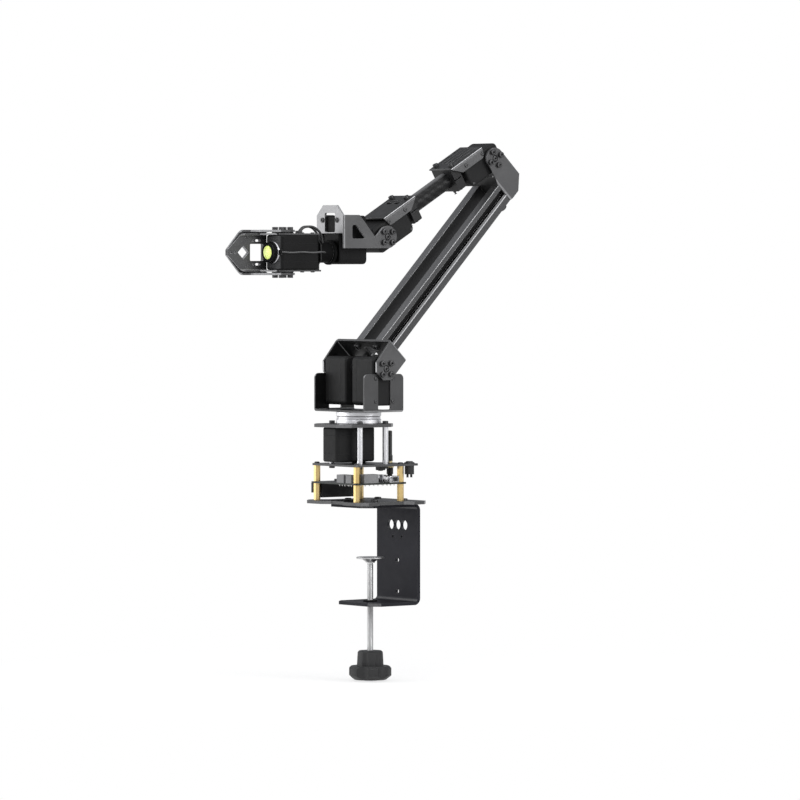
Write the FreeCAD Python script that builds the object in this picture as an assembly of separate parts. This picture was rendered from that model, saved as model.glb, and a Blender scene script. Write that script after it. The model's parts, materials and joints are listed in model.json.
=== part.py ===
import FreeCAD, Part
import math
import os

V = FreeCAD.Vector

# Desk-clamped servo arm, in millimetres and degrees.
# Origin: where the turning axis of the base meets the table top. +X forward, +Z up.

# Pose in which the arm is drawn
lean_back = 44.0
forearm_drop = 30.0

# Links between the pitch axes
shoulder_back = 0.6
elbow_offset = 31.1
elbow_rise = 14.8
forearm_reach = 148.2
roll_drop = 14.3

# Sheet metal
clamp_sheet = 3.0
deck_sheet = 3.0
tray_sheet = 2.0
fork_sheet = 2.0
thin_sheet = 1.5
bend = 1.2

# Fits
seat = 0.05
running = 0.06
screw_fit = 0.1
swing_gap = 0.3

# Length of a cutter, longer than any piece it passes through
through = 400.0

# Bus servo: a case on its output axis, a boss and a disc horn at both ends
servo_length = 45.2
servo_width = 24.7
servo_depth = 32.2
servo_inset = 11.0
servo_corner = 4.5
servo_edge = 2.0
servo_seam = 0.2
servo_lid = 7.5
boss_r = 6.5
boss_h = 1.7
shaft_r = 3.0
shaft_sunk = 7.0
horn_r = 10.0
horn_t = 1.0
socket_wide = 7.5
socket_high = 4.2
socket_deep = 4.0
socket_apart = 2.8
socket_below = 8.0

# Horn screws
screw_r = 1.5
screw_head_r = 2.7
screw_head_h = 2.6
screw_grip = 0.8
horn_pitch_r = 7.0
wrench_r = 3.4
shoulder_horn_turn = 0.0
elbow_horn_turn = 14.5
wrist_horn_turn = 45.0
jaw_horn_turn = 45.0
small_hole_r = 1.3

# Table clamp
clamp_wide = 62.0
clamp_back = 45.5
clamp_flange = 15.5
clamp_front = 6.5
clamp_throat = 88.6
clamp_screw_x = -13.6
clamp_screw_r = 3.0
clamp_corner = 9.0
clamp_bend = 3.5
cable_hole_r = 4.8
cable_hole_pitch = 10.4
cable_hole_z = -18.0
lacing_hole_r = 1.7
lacing_hole_pitch = 13.2
lacing_hole_z = -29.0
web_hole_r = 2.5
web_hole_z = -51.0
web_hole_pitch = 29.4
pad_r = 13.0
pad_top = -47.0
pad_rim = 1.6
pad_high = 5.4
pad_flare_r = 8.2
pad_neck_r = 4.2
pad_neck = 0.8
knob_top = -134.4
knob_hub_r = 11.8
knob_hub_h = 14.2
knob_r = 20.0
knob_h = 12.8
knob_lobes = 6
flute_r = 9.4
flute_deep = 3.0
hub_flute_r = 6.0
hub_flute_deep = 0.8
nut_r = 6.5
nut_high = 1.4
nut_barrel_r = 4.6
nut_reach = 5.0

# Base plate and decks
base_rear = -49.4
base_front = 31.6
base_half = 46.0
base_corner = 8.0
base_ear = 14.0
base_scoop = 7.0
base_hole_r = 2.2
base_hole_in = 10.0
base_hole_side = 7.5
board_pitch_x = 51.0
board_pitch_y = 61.0
board_edge = 4.0
board_corner = 1.0
board_t = 1.6
header_wide = 5.0
header_high = 13.6
header_gap = 1.2
header_wall = 1.0
pin_pitch = 2.54
pin_slot = 0.8
pin_deep = 2.6
stub_in = 1.4
stub_long = 8.0
stub_out = 1.5
stub_lap = 0.7
stub_high = 9.0
shell_wall = 1.0
shell_floor = 1.2
front_shell_deep = 9.2
side_shell_deep = 9.0
front_shells = ((10.2, 10.6, 7.5), (22.7, 8.2, 7.5))
side_shell = (11.5, 16.6, 8.1)
data_shell = (-15.0, 10.6, 5.6)
chips = ((-7.0, -2.0, 18.0, 20.0, 3.2), (10.0, 0.0, 8.0, 8.0, 1.6),
         (-10.0, -22.0, 8.0, 8.0, 4.4), (4.0, -23.0, 8.0, 8.0, 2.0))
lower_standoff = 16.0
upper_standoff = 15.0
standoff_flats = 5.4
standoff_hole_r = 1.35
tray_edge = 4.2
tray_round = 4.0
tray_tail = 20.5
tail_past = 5.0
tail_wide = 12.0
tail_slope = 4.0
tail_round = 3.0
shelf_long = 10.0
shelf_past = 9.0
shelf_slope = 6.0
post_r = 2.75
post_x = 15.0
post_y = 21.2
post_tall = 34.2
top_front = 39.0
top_rear = -27.3
top_half = 27.0
top_corner = 10.0

# Turning bearing
bearing_r = 21.0
bearing_bore_r = 12.6
race_high = 4.2
cage_high = 2.8
cage_inset = 0.7
ball_r = 2.8
ball_count = 10

# Yoke that carries the two shoulder servos
yoke_long = 45.9
yoke_tall = 35.4
yoke_corner = 4.5
yoke_slot = 14.4
yoke_slot_floor = 2.6
yoke_hole_in = 2.7
yoke_hole_top = 4.0
yoke_hole_pitch = 21.4
servo_apart = 9.0
servo_lift = 4.5

# Upper arm
fork_rear = 11.2
fork_front = 12.4
fork_flare = 2.2
fork_low = 10.0
fork_chamfer = 6.5
shoulder_web = 23.2
web_window = 6.0
rail_wide = 10.0
rail_deep = 20.0
rail_long = 204.5
rail_apart = 28.8
slot_mouth = 6.2
slot_lip = 1.5
slot_wide = 8.6
slot_deep = 3.8
rail_bolt_pitch = 14.2
rail_bolt_r = 2.0
rail_bolt_head_r = 3.4
rail_bolt_head_h = 2.6
rail_bolt_in = 12.0
elbow_round = 10.2
elbow_tail_high = 12.6
elbow_chamfer = 10.5

# Forearm
tube_r = 8.0
tube_wall = 1.5
tube_raise = 3.3
tube_slit = 1.2
tube_inset = 2.5
pinch_tail = 0.4
neck_long = 4.6
neck_half = 9.5
neck_low = -6.5
grip_long = 9.5
grip_half = 14.5
grip_low = -8.1
pinch_side = 11.3
elbow_cover_start = 6.5
wrist_cover_start = 7.2
cover_long = 42.0
cover_rise = 16.4
cover_skirt = 6.6
cover_front_cut = 10.6
cover_rear_cut = 3.0
cover_edge = 2.6
cover_slots = 5
cover_slot_wide = 2.4
cover_slot_front = 9.0
cover_hole_in = 2.7
cover_hole_pitch = 22.5
cover_hole_z = 10.4
vent_half = 10.0
vent_wide = 1.6
vent_in = 9.2
vent_box = 4.0

# Wrist bracket and roll servo
wrist_front = 51.9
wrist_top = 20.4
wrist_shoulder = 18.9
wrist_notch = 14.6
wrist_head_top = 29.4
wrist_head_corner = 9.5
wrist_head_side = 0.8
wrist_round = 10.4
window_in = 10.4
window_top = 11.0
window_low = -1.5
window_upper = 5.4
window_lower = 15.2
head_window_half = 7.8
head_window_low = 4.4
head_window_top = 22.2
head_screw_y = 11.0
head_screw_z = 15.6

# Hand
hub_r = 9.6
hub_flange_r = 11.5
hub_flange_t = 3.0
hub_long = 17.1
servo_clear = 1.8
jaw_reach = 53.1
jaw_neck = 36.7
jaw_plate_in = 9.0
jaw_start = 11.5
jaw_gap = 0.4
jaw_inner = 12.6
flange_deep = 5.0
tip_half = 2.6
arm_round = 11.3
jaw_window_in = 12.8
jaw_window_long = 15.1
jaw_window_half = 7.8
diamond_in = 35.5
diamond_half = 6.4
tip_hole_r = 1.4
tip_hole_in = 3.7
tip_hole_pitch = 4.4
corner_hole_in = 31.9
corner_hole_z = 13.2
pin_hole_in = 24.3
grip_slot_in = 15.9
grip_slot_long = 6.0
grip_slot_half = 1.1
grip_row_z = 10.9
lamp_r = 9.2
lamp_ring_r = 10.2
lamp_ring_t = 2.0
lamp_out = 5.0
lens_r = 6.2
lens_sunk = 3.0
lens_dome = 1.4
lug_half = 2.4
lug_t = 1.5
lead_r = 0.8
cable_r = 1.1
cord_sunk = 2.0
cord_hub_in = 6.6
cord_y = 3.0
cord_plug_in = 20.5
cord_rise = 3.6
cord_stagger = 3.4
lead_off = 0.2
lead_sway = 0.4
lead_last = 8.0
plug_long = 4.4
plug_wide = 3.6
plug_high = 2.4
plate_hole_in = (9.0, 21.0)
plate_hole_y = 8.0
web_hole_in = 5.0
web_wide_z = 7.0
web_neck_z = 11.0
web_neck = 6.4


# Levels that follow from the sizes above
base_top = clamp_sheet + deck_sheet
board_low = base_top + lower_standoff
board_top = board_low + board_t
tray_low = board_top + upper_standoff
tray_top = tray_low + tray_sheet
deck_low = tray_top + post_tall
deck_top = deck_low + deck_sheet
yoke_low = deck_top + 2 * race_high + cage_high
horn_face = servo_depth / 2 + boss_h
fork_in = horn_face + horn_t
fork_out = fork_in + fork_sheet
shoulder_face = servo_apart / 2 + servo_depth
yoke_in = shoulder_face
yoke_out = yoke_in + thin_sheet
shoulder_fork_in = shoulder_face + boss_h + horn_t
shoulder_fork_out = shoulder_fork_in + fork_sheet
shoulder_height = yoke_low + thin_sheet + servo_lift + servo_length - servo_inset
rail_end = shoulder_web + rail_long
upper_reach = rail_end + elbow_rise
servo_end = servo_length - servo_inset
hand_back = wrist_front + hub_long
gripper_axis = hand_back + thin_sheet + servo_clear + servo_end
jaw_tip = gripper_axis + jaw_reach
jaw_shoulder = gripper_axis + jaw_neck
cord_hub_x = hand_back - cord_hub_in
cord_plug_x = hand_back + cord_plug_in
hole_r = screw_r + screw_fit
track_r = (bearing_r + bearing_bore_r) / 2


def box(x0, x1, y0, y1, z0, z1):
    return Part.makeBox(x1 - x0, y1 - y0, z1 - z0, V(x0, y0, z0))


def rod(radius, length, at, along):
    return Part.makeCylinder(radius, length, V(*at), V(*along))


def face(points, lift):
    """A flat face through 2-D points; a third number on a point rounds that corner."""
    marks = []
    for i, point in enumerate(points):
        here = V(point[0], point[1], 0)
        if len(point) < 3:
            marks.append((here, None, here))
            continue
        last = points[i - 1]
        coming = points[(i + 1) % len(points)]
        before = (V(last[0], last[1], 0) - here).normalize()
        after = (V(coming[0], coming[1], 0) - here).normalize()
        half = before.getAngle(after) / 2
        middle = (before + after).normalize()
        centre = here + middle * (point[2] / math.sin(half))
        back = point[2] / math.tan(half)
        marks.append((here + before * back, centre - middle * point[2], here + after * back))
    edges = []
    for i, (start, middle, end) in enumerate(marks):
        if middle is not None:
            edges.append(Part.Arc(lift(start), lift(middle), lift(end)).toShape())
        follows = marks[(i + 1) % len(marks)][0]
        if (follows - end).Length > 1e-6:
            edges.append(Part.makeLine(lift(end), lift(follows)))
    return Part.Face(Part.Wire(edges))


def sheet_xy(points, z0, z1):
    return face(points, lambda p: V(p.x, p.y, z0)).extrude(V(0, 0, z1 - z0))


def sheet_xz(points, y0, y1):
    return face(points, lambda p: V(p.x, y0, p.y)).extrude(V(0, y1 - y0, 0))


def sheet_yz(points, x0, x1):
    return face(points, lambda p: V(x0, p.x, p.y)).extrude(V(x1 - x0, 0, 0))


def slab_xy(points):
    return sheet_xy(points, -through, through)


def slab_xz(points):
    return sheet_xz(points, -through, through)


def drill_x(radius, y, z):
    return rod(radius, 2 * through, (-through, y, z), (1, 0, 0))


def drill_y(radius, x, z):
    return rod(radius, 2 * through, (x, -through, z), (0, 1, 0))


def drill_z(radius, x, y):
    return rod(radius, 2 * through, (x, y, -through), (0, 0, 1))


def turned(points):
    """A solid of revolution about Z from (radius, z) points."""
    return face(points, lambda p: V(p.x, 0, p.y)).revolve(V(0, 0, 0), V(0, 0, 1), 360)


def cut_all(shape, tools):
    return shape.cut(Part.makeCompound(list(tools))) if tools else shape


def joined(shapes):
    first = shapes[0]
    return first.fuse(list(shapes[1:])).removeSplitter()


def frame(origin, x_axis, z_axis):
    x, z = V(*x_axis), V(*z_axis)
    y = z.cross(x)
    o = V(*origin)
    rows = (x.x, y.x, z.x, o.x, x.y, y.y, z.y, o.y, x.z, y.z, z.z, o.z, 0, 0, 0, 1)
    return FreeCAD.Placement(FreeCAD.Matrix(*rows))


def placed(shape, *frames):
    moved = shape.copy()
    for here in reversed(frames):
        moved.Placement = here.multiply(moved.Placement)
    return moved


def swung(x, z, angle):
    turn = math.radians(angle)
    return V(x * math.cos(turn) + z * math.sin(turn), 0, z * math.cos(turn) - x * math.sin(turn))


# Link frames: x across or along the link, z away from the joint, y to the arm's left
shoulder_at = V(-shoulder_back, 0, shoulder_height)
arm = frame(shoulder_at, swung(1, 0, -lean_back), swung(0, 1, -lean_back))
elbow_at = shoulder_at + swung(elbow_offset, upper_reach, -lean_back)
forearm = frame(elbow_at, swung(1, 0, forearm_drop), swung(0, 1, forearm_drop))
wrist_at = elbow_at + swung(forearm_reach, 0, forearm_drop)
hand = frame(wrist_at, (1, 0, 0), (0, 0, 1))

# Servo seats: x along the case away from the output, z along the output
base_servo_seat = frame((0, 0, deck_low - servo_depth / 2), (1, 0, 0), (0, 0, 1))
shoulder_mid = shoulder_face - servo_depth / 2
left_servo_seat = frame((-shoulder_back, shoulder_mid, shoulder_height), (0, 0, -1), (0, 1, 0))
right_servo_seat = frame((-shoulder_back, -shoulder_mid, shoulder_height), (0, 0, -1), (0, -1, 0))
elbow_servo_seat = frame((0, 0, 0), (1, 0, 0), (0, 1, 0))
wrist_servo_seat = frame((forearm_reach, 0, 0), (-1, 0, 0), (0, 1, 0))
roll_face = wrist_front - fork_sheet
roll_servo_seat = frame((roll_face - servo_depth / 2, 0, -roll_drop), (0, 0, 1), (1, 0, 0))
gripper_seat = frame((gripper_axis, 0, -roll_drop), (-1, 0, 0), (0, 0, 1))


def servo_outline(inset):
    back = inset - servo_inset
    front = servo_length - servo_inset - inset
    side = servo_width / 2 - inset
    corner = servo_corner
    return [(back, -side, corner), (front, -side, corner), (front, side, corner), (back, side, corner)]


def servo_case(socket_way):
    """Case with rounded edges, fine lid seams, a boss at both ends and two cable sockets.

    The sockets open along socket_way, (1, 0) for the end of the case or (0, -1) for its side.
    """
    half = servo_depth / 2
    body = sheet_xy(servo_outline(0), -half, half)
    rims = [edge for edge in body.Edges if abs(abs(edge.CenterOfMass.z) - half) < 0.01]
    body = body.makeFillet(servo_edge, rims)
    cuts = []
    for low in (servo_lid - half, half - servo_lid - servo_seam):
        ring = sheet_xy(servo_outline(-1), low, low + servo_seam)
        cuts.append(ring.cut(sheet_xy(servo_outline(servo_seam), low, low + servo_seam)))
    floor = half - servo_lid - socket_below
    for side in (-1, 1):
        mid = side * (socket_wide + socket_apart) / 2
        a, b = mid - socket_wide / 2, mid + socket_wide / 2
        if socket_way == (1, 0):
            cuts.append(box(servo_end - socket_deep, servo_end + 1, a, b, floor, floor + socket_high))
        else:
            low = -servo_width / 2
            cuts.append(box(servo_end / 2 + a, servo_end / 2 + b, low - 1, low + socket_deep,
                            floor, floor + socket_high))
    body = cut_all(body, cuts)
    boss = rod(boss_r, servo_depth + 2 * boss_h, (0, 0, -half - boss_h), (0, 0, 1))
    body = joined([body, boss])
    depth = shaft_sunk + boss_h + running
    bores = []
    for side in (-1, 1):
        bores.append(rod(shaft_r + running, depth, (0, 0, side * (half + boss_h)), (0, 0, -side)))
    return cut_all(body, bores)


def horn_ring(turn):
    """Places of the four screws of a horn, the first at an angle of turn."""
    angles = [math.radians(turn + 90 * i) for i in range(4)]
    return [(horn_pitch_r * math.cos(a), horn_pitch_r * math.sin(a)) for a in angles]


def servo_horn(side, turn):
    """Disc and output shaft at one end of a servo, in the servo's own frame."""
    start = servo_depth / 2 + boss_h
    disc = rod(horn_r, horn_t, (0, 0, start), (0, 0, 1))
    disc = disc.makeChamfer(0.4, [disc.Edges[0]])
    shaft = rod(shaft_r, shaft_sunk + 1, (0, 0, start + 1), (0, 0, -1))
    horn = cut_all(disc.fuse(shaft), [drill_z(hole_r, x, y) for x, y in horn_ring(turn)])
    return horn if side > 0 else horn.mirror(V(0, 0, 0), V(0, 0, 1))


def horn_screws(side, turn):
    """Four screws through a fork sheet into a horn, in the servo's own frame."""
    face_at = servo_depth / 2 + boss_h + horn_t + fork_sheet
    screws = []
    for x, y in horn_ring(turn):
        head = rod(screw_head_r, screw_head_h, (x, y, face_at), (0, 0, 1))
        shank = rod(screw_r, fork_sheet + screw_grip + 1, (x, y, face_at + 1), (0, 0, -1))
        screws.append(head.fuse(shank).removeSplitter())
    group = Part.makeCompound(screws)
    return group if side > 0 else group.mirror(V(0, 0, 0), V(0, 0, 1))


def both_ends(make, turn, *frames):
    return Part.makeCompound([placed(make(side, turn), *frames) for side in (1, -1)])


def fork_drill(x, z, turn):
    """Horn screw holes and a wrench hole along Y, through both cheeks of a fork at (x, z)."""
    return [drill_y(wrench_r, x, z)] + [drill_y(hole_r, x + dx, z + dz) for dx, dz in horn_ring(turn)]


def channel_yz(half, low, web_top, sheet, x0, x1):
    """Folded U along X: cheeks on both sides, web across the top."""
    outer = [(-half, low), (half, low), (half, web_top, bend + sheet), (-half, web_top, bend + sheet)]
    deep = half - sheet
    top = web_top - sheet
    inner = [(-deep, low - 1), (deep, low - 1), (deep, top, bend), (-deep, top, bend)]
    return sheet_yz(outer, x0, x1).cut(sheet_yz(inner, x0 - 1, x1 + 1))


def clamp_bracket():
    back = -clamp_back - clamp_sheet
    low = -clamp_throat - clamp_sheet
    wide_bend = clamp_bend + clamp_sheet
    outer = [(clamp_flange, clamp_sheet), (back, clamp_sheet, wide_bend), (back, low, wide_bend),
             (clamp_flange, low)]
    inner = [(clamp_flange + 1, 0), (-clamp_back, 0, clamp_bend),
             (-clamp_back, -clamp_throat, clamp_bend), (clamp_flange + 1, -clamp_throat)]
    half = clamp_wide / 2
    body = sheet_xz(outer, -half, half).cut(sheet_xz(inner, -half - 1, half + 1))
    middle = -clamp_throat / 2
    plans = []
    for front, z0, z1 in ((clamp_flange, middle, clamp_sheet + 1), (clamp_front, low - 1, middle)):
        plan = [(back - 1, -half), (front - clamp_corner, -half), (front, clamp_corner - half),
                (front, half - clamp_corner), (front - clamp_corner, half), (back - 1, half)]
        plans.append(sheet_xy(plan, z0, z1))
    body = body.common(joined(plans))
    holes = []
    for i in (-1, 0, 1):
        holes.append(drill_x(cable_hole_r, i * cable_hole_pitch, cable_hole_z))
    for side in (-1, 1):
        holes.append(drill_x(lacing_hole_r, side * lacing_hole_pitch / 2, lacing_hole_z))
    for i in (0, 1):
        holes.append(drill_x(web_hole_r, 0, web_hole_z - i * web_hole_pitch))
    holes.append(rod(nut_barrel_r + seat, 20, (clamp_screw_x, 0, -clamp_throat - 10), (0, 0, 1)))
    return cut_all(body, holes)


def clamp_nut():
    top = nut_high - clamp_throat
    flange = -clamp_throat
    bore = clamp_screw_r + running
    profile = [(bore, top - nut_reach), (nut_barrel_r, top - nut_reach), (nut_barrel_r, flange),
               (nut_r, flange), (nut_r, top), (bore, top)]
    return placed(turned(profile), frame((clamp_screw_x, 0, 0), (1, 0, 0), (0, 0, 1)))


def clamp_pad():
    low = pad_top - pad_high
    bore = clamp_screw_r - 0.6 + running
    rim = pad_top - pad_rim
    profile = [(0, pad_top), (pad_r, pad_top, 0.6), (pad_r, rim, 0.6), (pad_flare_r, rim),
               (pad_neck_r, low + pad_neck), (pad_neck_r, low), (bore, low), (bore, rim), (0, rim)]
    return placed(turned(profile), frame((clamp_screw_x, 0, 0), (1, 0, 0), (0, 0, 1)))


def clamp_screw():
    low = pad_top - pad_high
    tip = pad_top - pad_rim - 0.2
    foot = knob_top - knob_hub_h - knob_h + 2.0
    pin = clamp_screw_r - 0.6
    profile = [(0, tip), (pin - 0.5, tip), (pin, tip - 0.5), (pin, low), (clamp_screw_r, low),
               (clamp_screw_r, foot), (0, foot)]
    return placed(turned(profile), frame((clamp_screw_x, 0, 0), (1, 0, 0), (0, 0, 1)))


def clamp_knob():
    skirt_top = knob_top - knob_hub_h
    skirt_low = skirt_top - knob_h
    hub = turned([(0, knob_top), (knob_hub_r - 1.4, knob_top), (knob_hub_r, knob_top - 1.4),
                  (knob_hub_r + 0.8, skirt_top), (knob_hub_r + 0.8, skirt_top - 1), (0, skirt_top - 1)])
    skirt = turned([(0, skirt_top), (knob_r - 2, skirt_top), (knob_r, skirt_top - 2),
                    (knob_r, skirt_low + 4), (knob_r - 5, skirt_low), (0, skirt_low)])
    flutes = []
    for i in range(knob_lobes):
        a = math.radians(360 / knob_lobes * (i + 0.5))
        reach = knob_r + flute_r - flute_deep
        flutes.append(rod(flute_r, knob_h + 2, (reach * math.cos(a), reach * math.sin(a), skirt_low - 1),
                          (0, 0, 1)))
        reach = knob_hub_r + hub_flute_r - hub_flute_deep
        flutes.append(rod(hub_flute_r, knob_hub_h, (reach * math.cos(a), reach * math.sin(a), skirt_top),
                          (0, 0, 1)))
    knob = cut_all(joined([hub, skirt]), flutes)
    knob = knob.cut(rod(clamp_screw_r, knob_h + knob_hub_h - 2, (0, 0, skirt_low + 2), (0, 0, 1)))
    return placed(knob, frame((clamp_screw_x, 0, 0), (1, 0, 0), (0, 0, 1)))


def base_plate():
    ear, scoop, cut = base_ear, base_scoop, base_corner
    far = base_half - cut
    inner_front = base_front - scoop
    inner_side = base_half - scoop
    middle = (base_front + base_rear) / 2
    quarter = [(base_front, far), (base_front - cut, base_half), (middle + ear + scoop, base_half),
               (middle + ear, inner_side), (middle - ear, inner_side), (middle - ear - scoop, base_half),
               (base_rear + cut, base_half), (base_rear, far)]
    front = [(base_front, ear + scoop - far), (inner_front, ear + 2 * scoop - far),
             (inner_front, far - ear - 2 * scoop), (base_front, far - ear - scoop)]
    other = [(x, -y) for x, y in reversed(quarter)]
    plate = sheet_xy(front + quarter + other, clamp_sheet, base_top)
    holes = []
    for side in (-1, 1):
        for x in (base_front - base_hole_in, base_rear + base_hole_in):
            holes.append(drill_z(base_hole_r, x, side * (base_half - base_hole_side)))
    return cut_all(plate, holes)


def board_corners():
    return [(sx * board_pitch_x / 2, sy * board_pitch_y / 2) for sx in (-1, 1) for sy in (-1, 1)]


def hex_posts(low, tall):
    posts = []
    across = standoff_flats / 2 / math.cos(math.radians(30))
    for x, y in board_corners():
        ring = [(x + across * math.cos(math.radians(60 * i + 30)),
                 y + across * math.sin(math.radians(60 * i + 30))) for i in range(6)]
        post = sheet_xy(ring, low, low + tall)
        posts.append(post.cut(rod(standoff_hole_r, tall + 2, (x, y, low - 1), (0, 0, 1))))
    return Part.makeCompound(posts)


def driver_board():
    hx = board_pitch_x / 2 + board_edge
    hy = board_pitch_y / 2 + board_edge
    plate = sheet_xy([(x, y, board_corner) for x, y in ((hx, hy), (-hx, hy), (-hx, -hy), (hx, -hy))],
                     board_low, board_top)
    return cut_all(plate, [rod(standoff_hole_r, 9, (x, y, board_low - 3), (0, 0, 1))
                           for x, y in board_corners()])


def board_socket():
    """Long double-row socket under the board's far edge, with its pin holes as slots, and a short one."""
    reach = (board_pitch_x - standoff_flats) / 2 - header_gap
    y = -board_pitch_y / 2
    low = board_low - header_high
    body = box(-reach, reach, y - header_wide / 2, y + header_wide / 2, low, board_low)
    inner = reach - header_wall
    rows = []
    for side in (-1, 1):
        mid = y + side * pin_pitch / 2
        rows.append(box(-inner, inner, mid - pin_slot / 2, mid + pin_slot / 2, low - 1, low + pin_deep))
    edge_x = board_pitch_x / 2 + board_edge - stub_in
    edge_y = -board_pitch_y / 2 - board_edge
    stub = box(edge_x - stub_long, edge_x, edge_y - stub_out, edge_y + stub_lap,
               board_low - stub_high, board_low)
    return Part.makeCompound([cut_all(body, rows), stub])


def shell(x0, x1, y0, y1, high, mouth):
    """Connector housing on the board, hollow from the top or from its outer side."""
    low = board_top + shell_floor
    body = box(x0, x1, y0, y1, board_top, board_top + high)
    if mouth == "top":
        pocket = box(x0 + shell_wall, x1 - shell_wall, y0 + shell_wall, y1 - shell_wall,
                     low, board_top + high + 1)
    else:
        pocket = box(x0 + shell_wall, x1 - shell_wall, y0 + 2 * shell_wall, y1 + 1,
                     low, board_top + high - shell_wall)
    return body.cut(pocket)


def board_connectors():
    """Cable connectors along the board's near sides, and the data socket in its side edge."""
    front = board_pitch_x / 2 + board_edge
    side = board_pitch_y / 2 + board_edge
    shells = []
    for y, wide, high in front_shells:
        shells.append(shell(front - front_shell_deep, front, y - wide / 2, y + wide / 2, high, "top"))
    for (x, long, high), mouth in ((side_shell, "top"), (data_shell, "side")):
        shells.append(shell(x - long / 2, x + long / 2, side - side_shell_deep, side, high, mouth))
    return Part.makeCompound(shells)


def board_chips():
    return Part.makeCompound([box(x - long / 2, x + long / 2, y - wide / 2, y + wide / 2,
                                  board_top, board_top + high) for x, y, long, wide, high in chips])


tray_half_x = board_pitch_x / 2 + tray_edge
tray_half_y = board_pitch_y / 2 + tray_edge
button_x = -tray_half_x - tray_tail / 2 + 3.5
button_y = board_pitch_y / 2 - 0.5
button_head_r = 5.2
button_head_h = 1.2
button_cap_r = 3.4
button_wall = 1.0
button_barrel_r = button_cap_r + button_wall
button_travel = 1.2
button_proud = 1.0
button_well = 2.6
antenna_x = -tray_half_x - 4.0
antenna_y = 4.0
antenna_r = 2.1
antenna_collar = 0.5
antenna_tall = 30.0
ferrule_r = 2.4
ferrule_nut_r = 3.8
ferrule_proud = 1.6


def mid_plate():
    tail = -tray_half_x - tray_tail / 2 - tail_past
    shelf = -tray_half_x - shelf_long
    hy = tray_half_y
    step = hy - tail_wide
    low = antenna_y - shelf_past
    points = [(tray_half_x, hy, tray_round), (tail, hy, tray_round), (tail, step, tail_round),
              (shelf, step - tail_slope, tail_round), (shelf, low, tail_round),
              (-tray_half_x, low - shelf_slope, tail_round), (-tray_half_x, -hy, tray_round),
              (tray_half_x, -hy, tray_round)]
    plate = sheet_xy(points, tray_low, tray_top)
    holes = [rod(boss_r + 1.5, 9, (0, 0, tray_low - 3), (0, 0, 1)),
             rod(button_barrel_r + seat, 9, (button_x, button_y, tray_low - 3), (0, 0, 1)),
             rod(ferrule_r + seat, 9, (antenna_x, antenna_y, tray_low - 3), (0, 0, 1))]
    for x, y in board_corners():
        holes.append(rod(standoff_hole_r, 9, (x, y, tray_low - 3), (0, 0, 1)))
    for x in (-post_x, post_x):
        for y in (-post_y, post_y):
            holes.append(rod(hole_r, 9, (x, y, tray_low - 3), (0, 0, 1)))
    return cut_all(plate, holes)


def power_button_body():
    low = tray_low - 8
    bore = button_cap_r + running
    profile = [(0, low), (button_barrel_r, low), (button_barrel_r, tray_top), (button_head_r, tray_top),
               (button_head_r - 0.7, tray_top + button_head_h), (bore, tray_top + button_head_h),
               (bore, tray_top - button_well), (0, tray_top - button_well)]
    body = turned(profile)
    tabs = [box(-2.6, -1.8, -1.2, 1.2, low - 3, low + 0.5), box(1.8, 2.6, -1.2, 1.2, low - 3, low + 0.5)]
    return placed(joined([body] + tabs), frame((button_x, button_y, 0), (1, 0, 0), (0, 0, 1)))


def power_button_cap():
    low = tray_top - button_well + button_travel + 0.2
    top = tray_top + button_head_h + button_proud
    cap = turned([(0, low), (button_cap_r, low), (button_cap_r, top - 0.5), (button_cap_r - 0.5, top),
                  (0, top)])
    return placed(cap, frame((button_x, button_y, 0), (1, 0, 0), (0, 0, 1)))


def antenna_socket():
    """Threaded ferrule through the tray with its lock nut, under the antenna."""
    nut = ferrule_nut_r
    low = tray_low - 8.5
    top = tray_top + ferrule_proud
    profile = [(0, low), (ferrule_r, low), (ferrule_r, tray_low - 2.4), (nut, tray_low - 2.4),
               (nut, tray_low), (ferrule_r, tray_low), (ferrule_r, top), (0, top)]
    return placed(turned(profile), frame((antenna_x, antenna_y, 0), (1, 0, 0), (0, 0, 1)))


def antenna():
    low = tray_top + ferrule_proud
    top = tray_top + antenna_tall
    wide = antenna_r + antenna_collar
    profile = [(0, low), (wide, low), (wide, low + 5), (antenna_r, low + 6), (antenna_r, top, antenna_r / 2),
               (0, top)]
    return placed(turned(profile), frame((antenna_x, antenna_y, 0), (1, 0, 0), (0, 0, 1)))


def support_posts():
    posts = []
    for x in (-post_x, post_x):
        for y in (-post_y, post_y):
            post = rod(post_r, post_tall, (x, y, tray_top), (0, 0, 1))
            posts.append(post.cut(rod(screw_r, post_tall + 2, (x, y, tray_top - 1), (0, 0, 1))))
    return Part.makeCompound(posts)


def top_plate():
    c = top_corner
    points = [(top_front, top_half - c), (top_front - c, top_half), (top_rear + c, top_half),
              (top_rear, top_half - c), (top_rear, c - top_half), (top_rear + c, -top_half),
              (top_front - c, -top_half), (top_front, c - top_half)]
    plate = sheet_xy(points, deck_low, deck_top)
    holes = [rod(boss_r + 1.0, 9, (0, 0, deck_low - 3), (0, 0, 1))]
    for x in (-post_x, post_x):
        for y in (-post_y, post_y):
            holes.append(rod(hole_r, 9, (x, y, deck_low - 3), (0, 0, 1)))
    for x in (-servo_inset + 3.5, servo_length - servo_inset - 3.5):
        for y in (-9.5, 9.5):
            holes.append(rod(1.3, 9, (x, y, deck_low - 3), (0, 0, 1)))
    return cut_all(plate, holes)


def race(low, high, track_on_top):
    """Thrust race: a washer with a rounded ball track on its inner side."""
    edge = 0.6
    profile = [(bearing_bore_r, low, edge), (bearing_r, low, edge), (bearing_r, high, edge),
               (bearing_bore_r, high, edge)]
    ring = turned(profile)
    at = deck_top + race_high + cage_high / 2
    loose = running if track_on_top else swing_gap
    return ring.cut(Part.makeTorus(track_r, ball_r + loose, V(0, 0, at), V(0, 0, 1)))


def bearing_lower_race():
    return race(deck_top, deck_top + race_high, True)


def bearing_upper_race():
    return race(yoke_low - race_high, yoke_low, False)


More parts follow.
